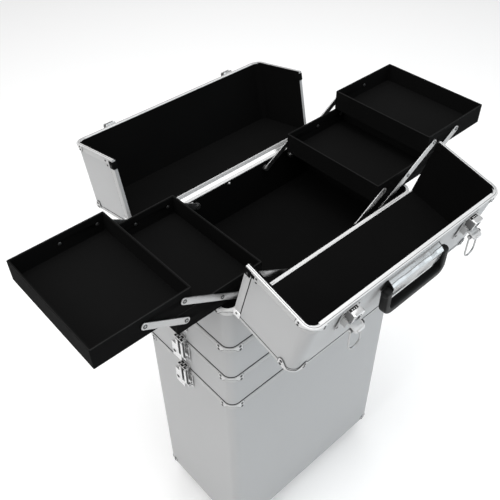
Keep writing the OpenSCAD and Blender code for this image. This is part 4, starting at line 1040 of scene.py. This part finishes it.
for i in range(-7, 8):
    arc = []
    for k in range(11):
        a = math.pi*k/10
        z = PULL_GRIP_Z + 0.15 + RIB_R*(1 - abs(math.sin(a)))
        arc.append((RIB_PITCH*i, TUBE_Y + RIB_REACH*math.cos(a), z))
    ribs.sweep(arc, circle(RIB_R, 8), (1, 0, 0))
ribs.done("pull_handle", "grip_black")

# Floor, world and lamps

world = bpy.data.worlds.new("studio")
bpy.context.scene.world = world
world.use_nodes = True
sky = Nodes(world.node_tree)
SKY_STRENGTH, SKY_LOW, SKY_HIGH, FLOOR_GLOW, FLOOR_HALF = 0.45, 0.02, 0.55, 0.22, 6.0
heading = sky.node("ShaderNodeTexCoord", {}, {}, "Generated")
rise = sky.node("ShaderNodeSeparateXYZ", {}, {0: heading}, "Z")
shade = sky.tint(sky.between(rise, SKY_LOW, SKY_HIGH), grey(0.25), grey(1.0))
lit = sky.node("ShaderNodeBackground", {}, {"Color": shade, "Strength": SKY_STRENGTH})
white = sky.node("ShaderNodeBackground", {}, {"Color": (1, 1, 1, 1), "Strength": 1.0})
camera_ray = sky.node("ShaderNodeLightPath", {}, {}, "Is Camera Ray")
either = sky.node("ShaderNodeMixShader", {}, {0: camera_ray, 1: lit, 2: white})
sky.tree.links.new(either.socket, sky.tree.nodes["World Output"].inputs["Surface"])

floor_mesh = bpy.data.meshes.new("floor")
floor_corners = [(x*FLOOR_HALF, y*FLOOR_HALF, 0) for x, y in ((-1, -1), (1, -1), (1, 1), (-1, 1))]
floor_mesh.from_pydata(floor_corners, [], [(0, 1, 2, 3)])
floor = bpy.data.objects.new("floor", floor_mesh)
bpy.context.scene.collection.objects.link(floor)
floor_finish = Finish("floor_white", grey(0.85), 0.9)
glow = floor_finish.node("ShaderNodeEmission", {}, {"Color": (1, 1, 1, 1), "Strength": FLOOR_GLOW})
paper = Link(floor_finish, floor_finish.shader.outputs[0])
bright = floor_finish.node("ShaderNodeAddShader", {}, {0: paper, 1: glow})
shown = floor_finish.node("ShaderNodeMixShader", {}, {0: floor_finish.seen(), 1: paper, 2: bright})
floor_finish.tree.links.new(shown.socket, floor_finish.tree.nodes["Material Output"].inputs["Surface"])
floor_mesh.materials.append(floor_finish.material)


def softbox(name, place, target, size, watts, colour):
    """A square area lamp turned towards a target."""
    lamp = bpy.data.lights.new(name, "AREA")
    lamp.size = size
    lamp.energy = watts
    lamp.color = colour
    made = bpy.data.objects.new(name, lamp)
    bpy.context.scene.collection.objects.link(made)
    made.location = place
    made.rotation_mode = "QUATERNION"
    made.rotation_quaternion = (Vector(target) - Vector(place)).to_track_quat("-Z", "Y")


softbox("key", (-2.1, 0.2, 1.8), (0, 0, 0.5), 1.4, 22, (1.0, 0.995, 0.985))
softbox("fill", (0.9, -2.0, 1.2), (0, 0, 0.5), 1.6, 16.5, (0.84, 0.94, 1.0))
softbox("back", (1.3, 1.5, 2.5), (0, 0, 0.6), 1.8, 12, (1.0, 1.0, 1.0))
softbox("overhead", (-0.2, -0.2, 3.0), (0, 0, 0.6), 2.2, 52, (1.0, 1.0, 1.0))
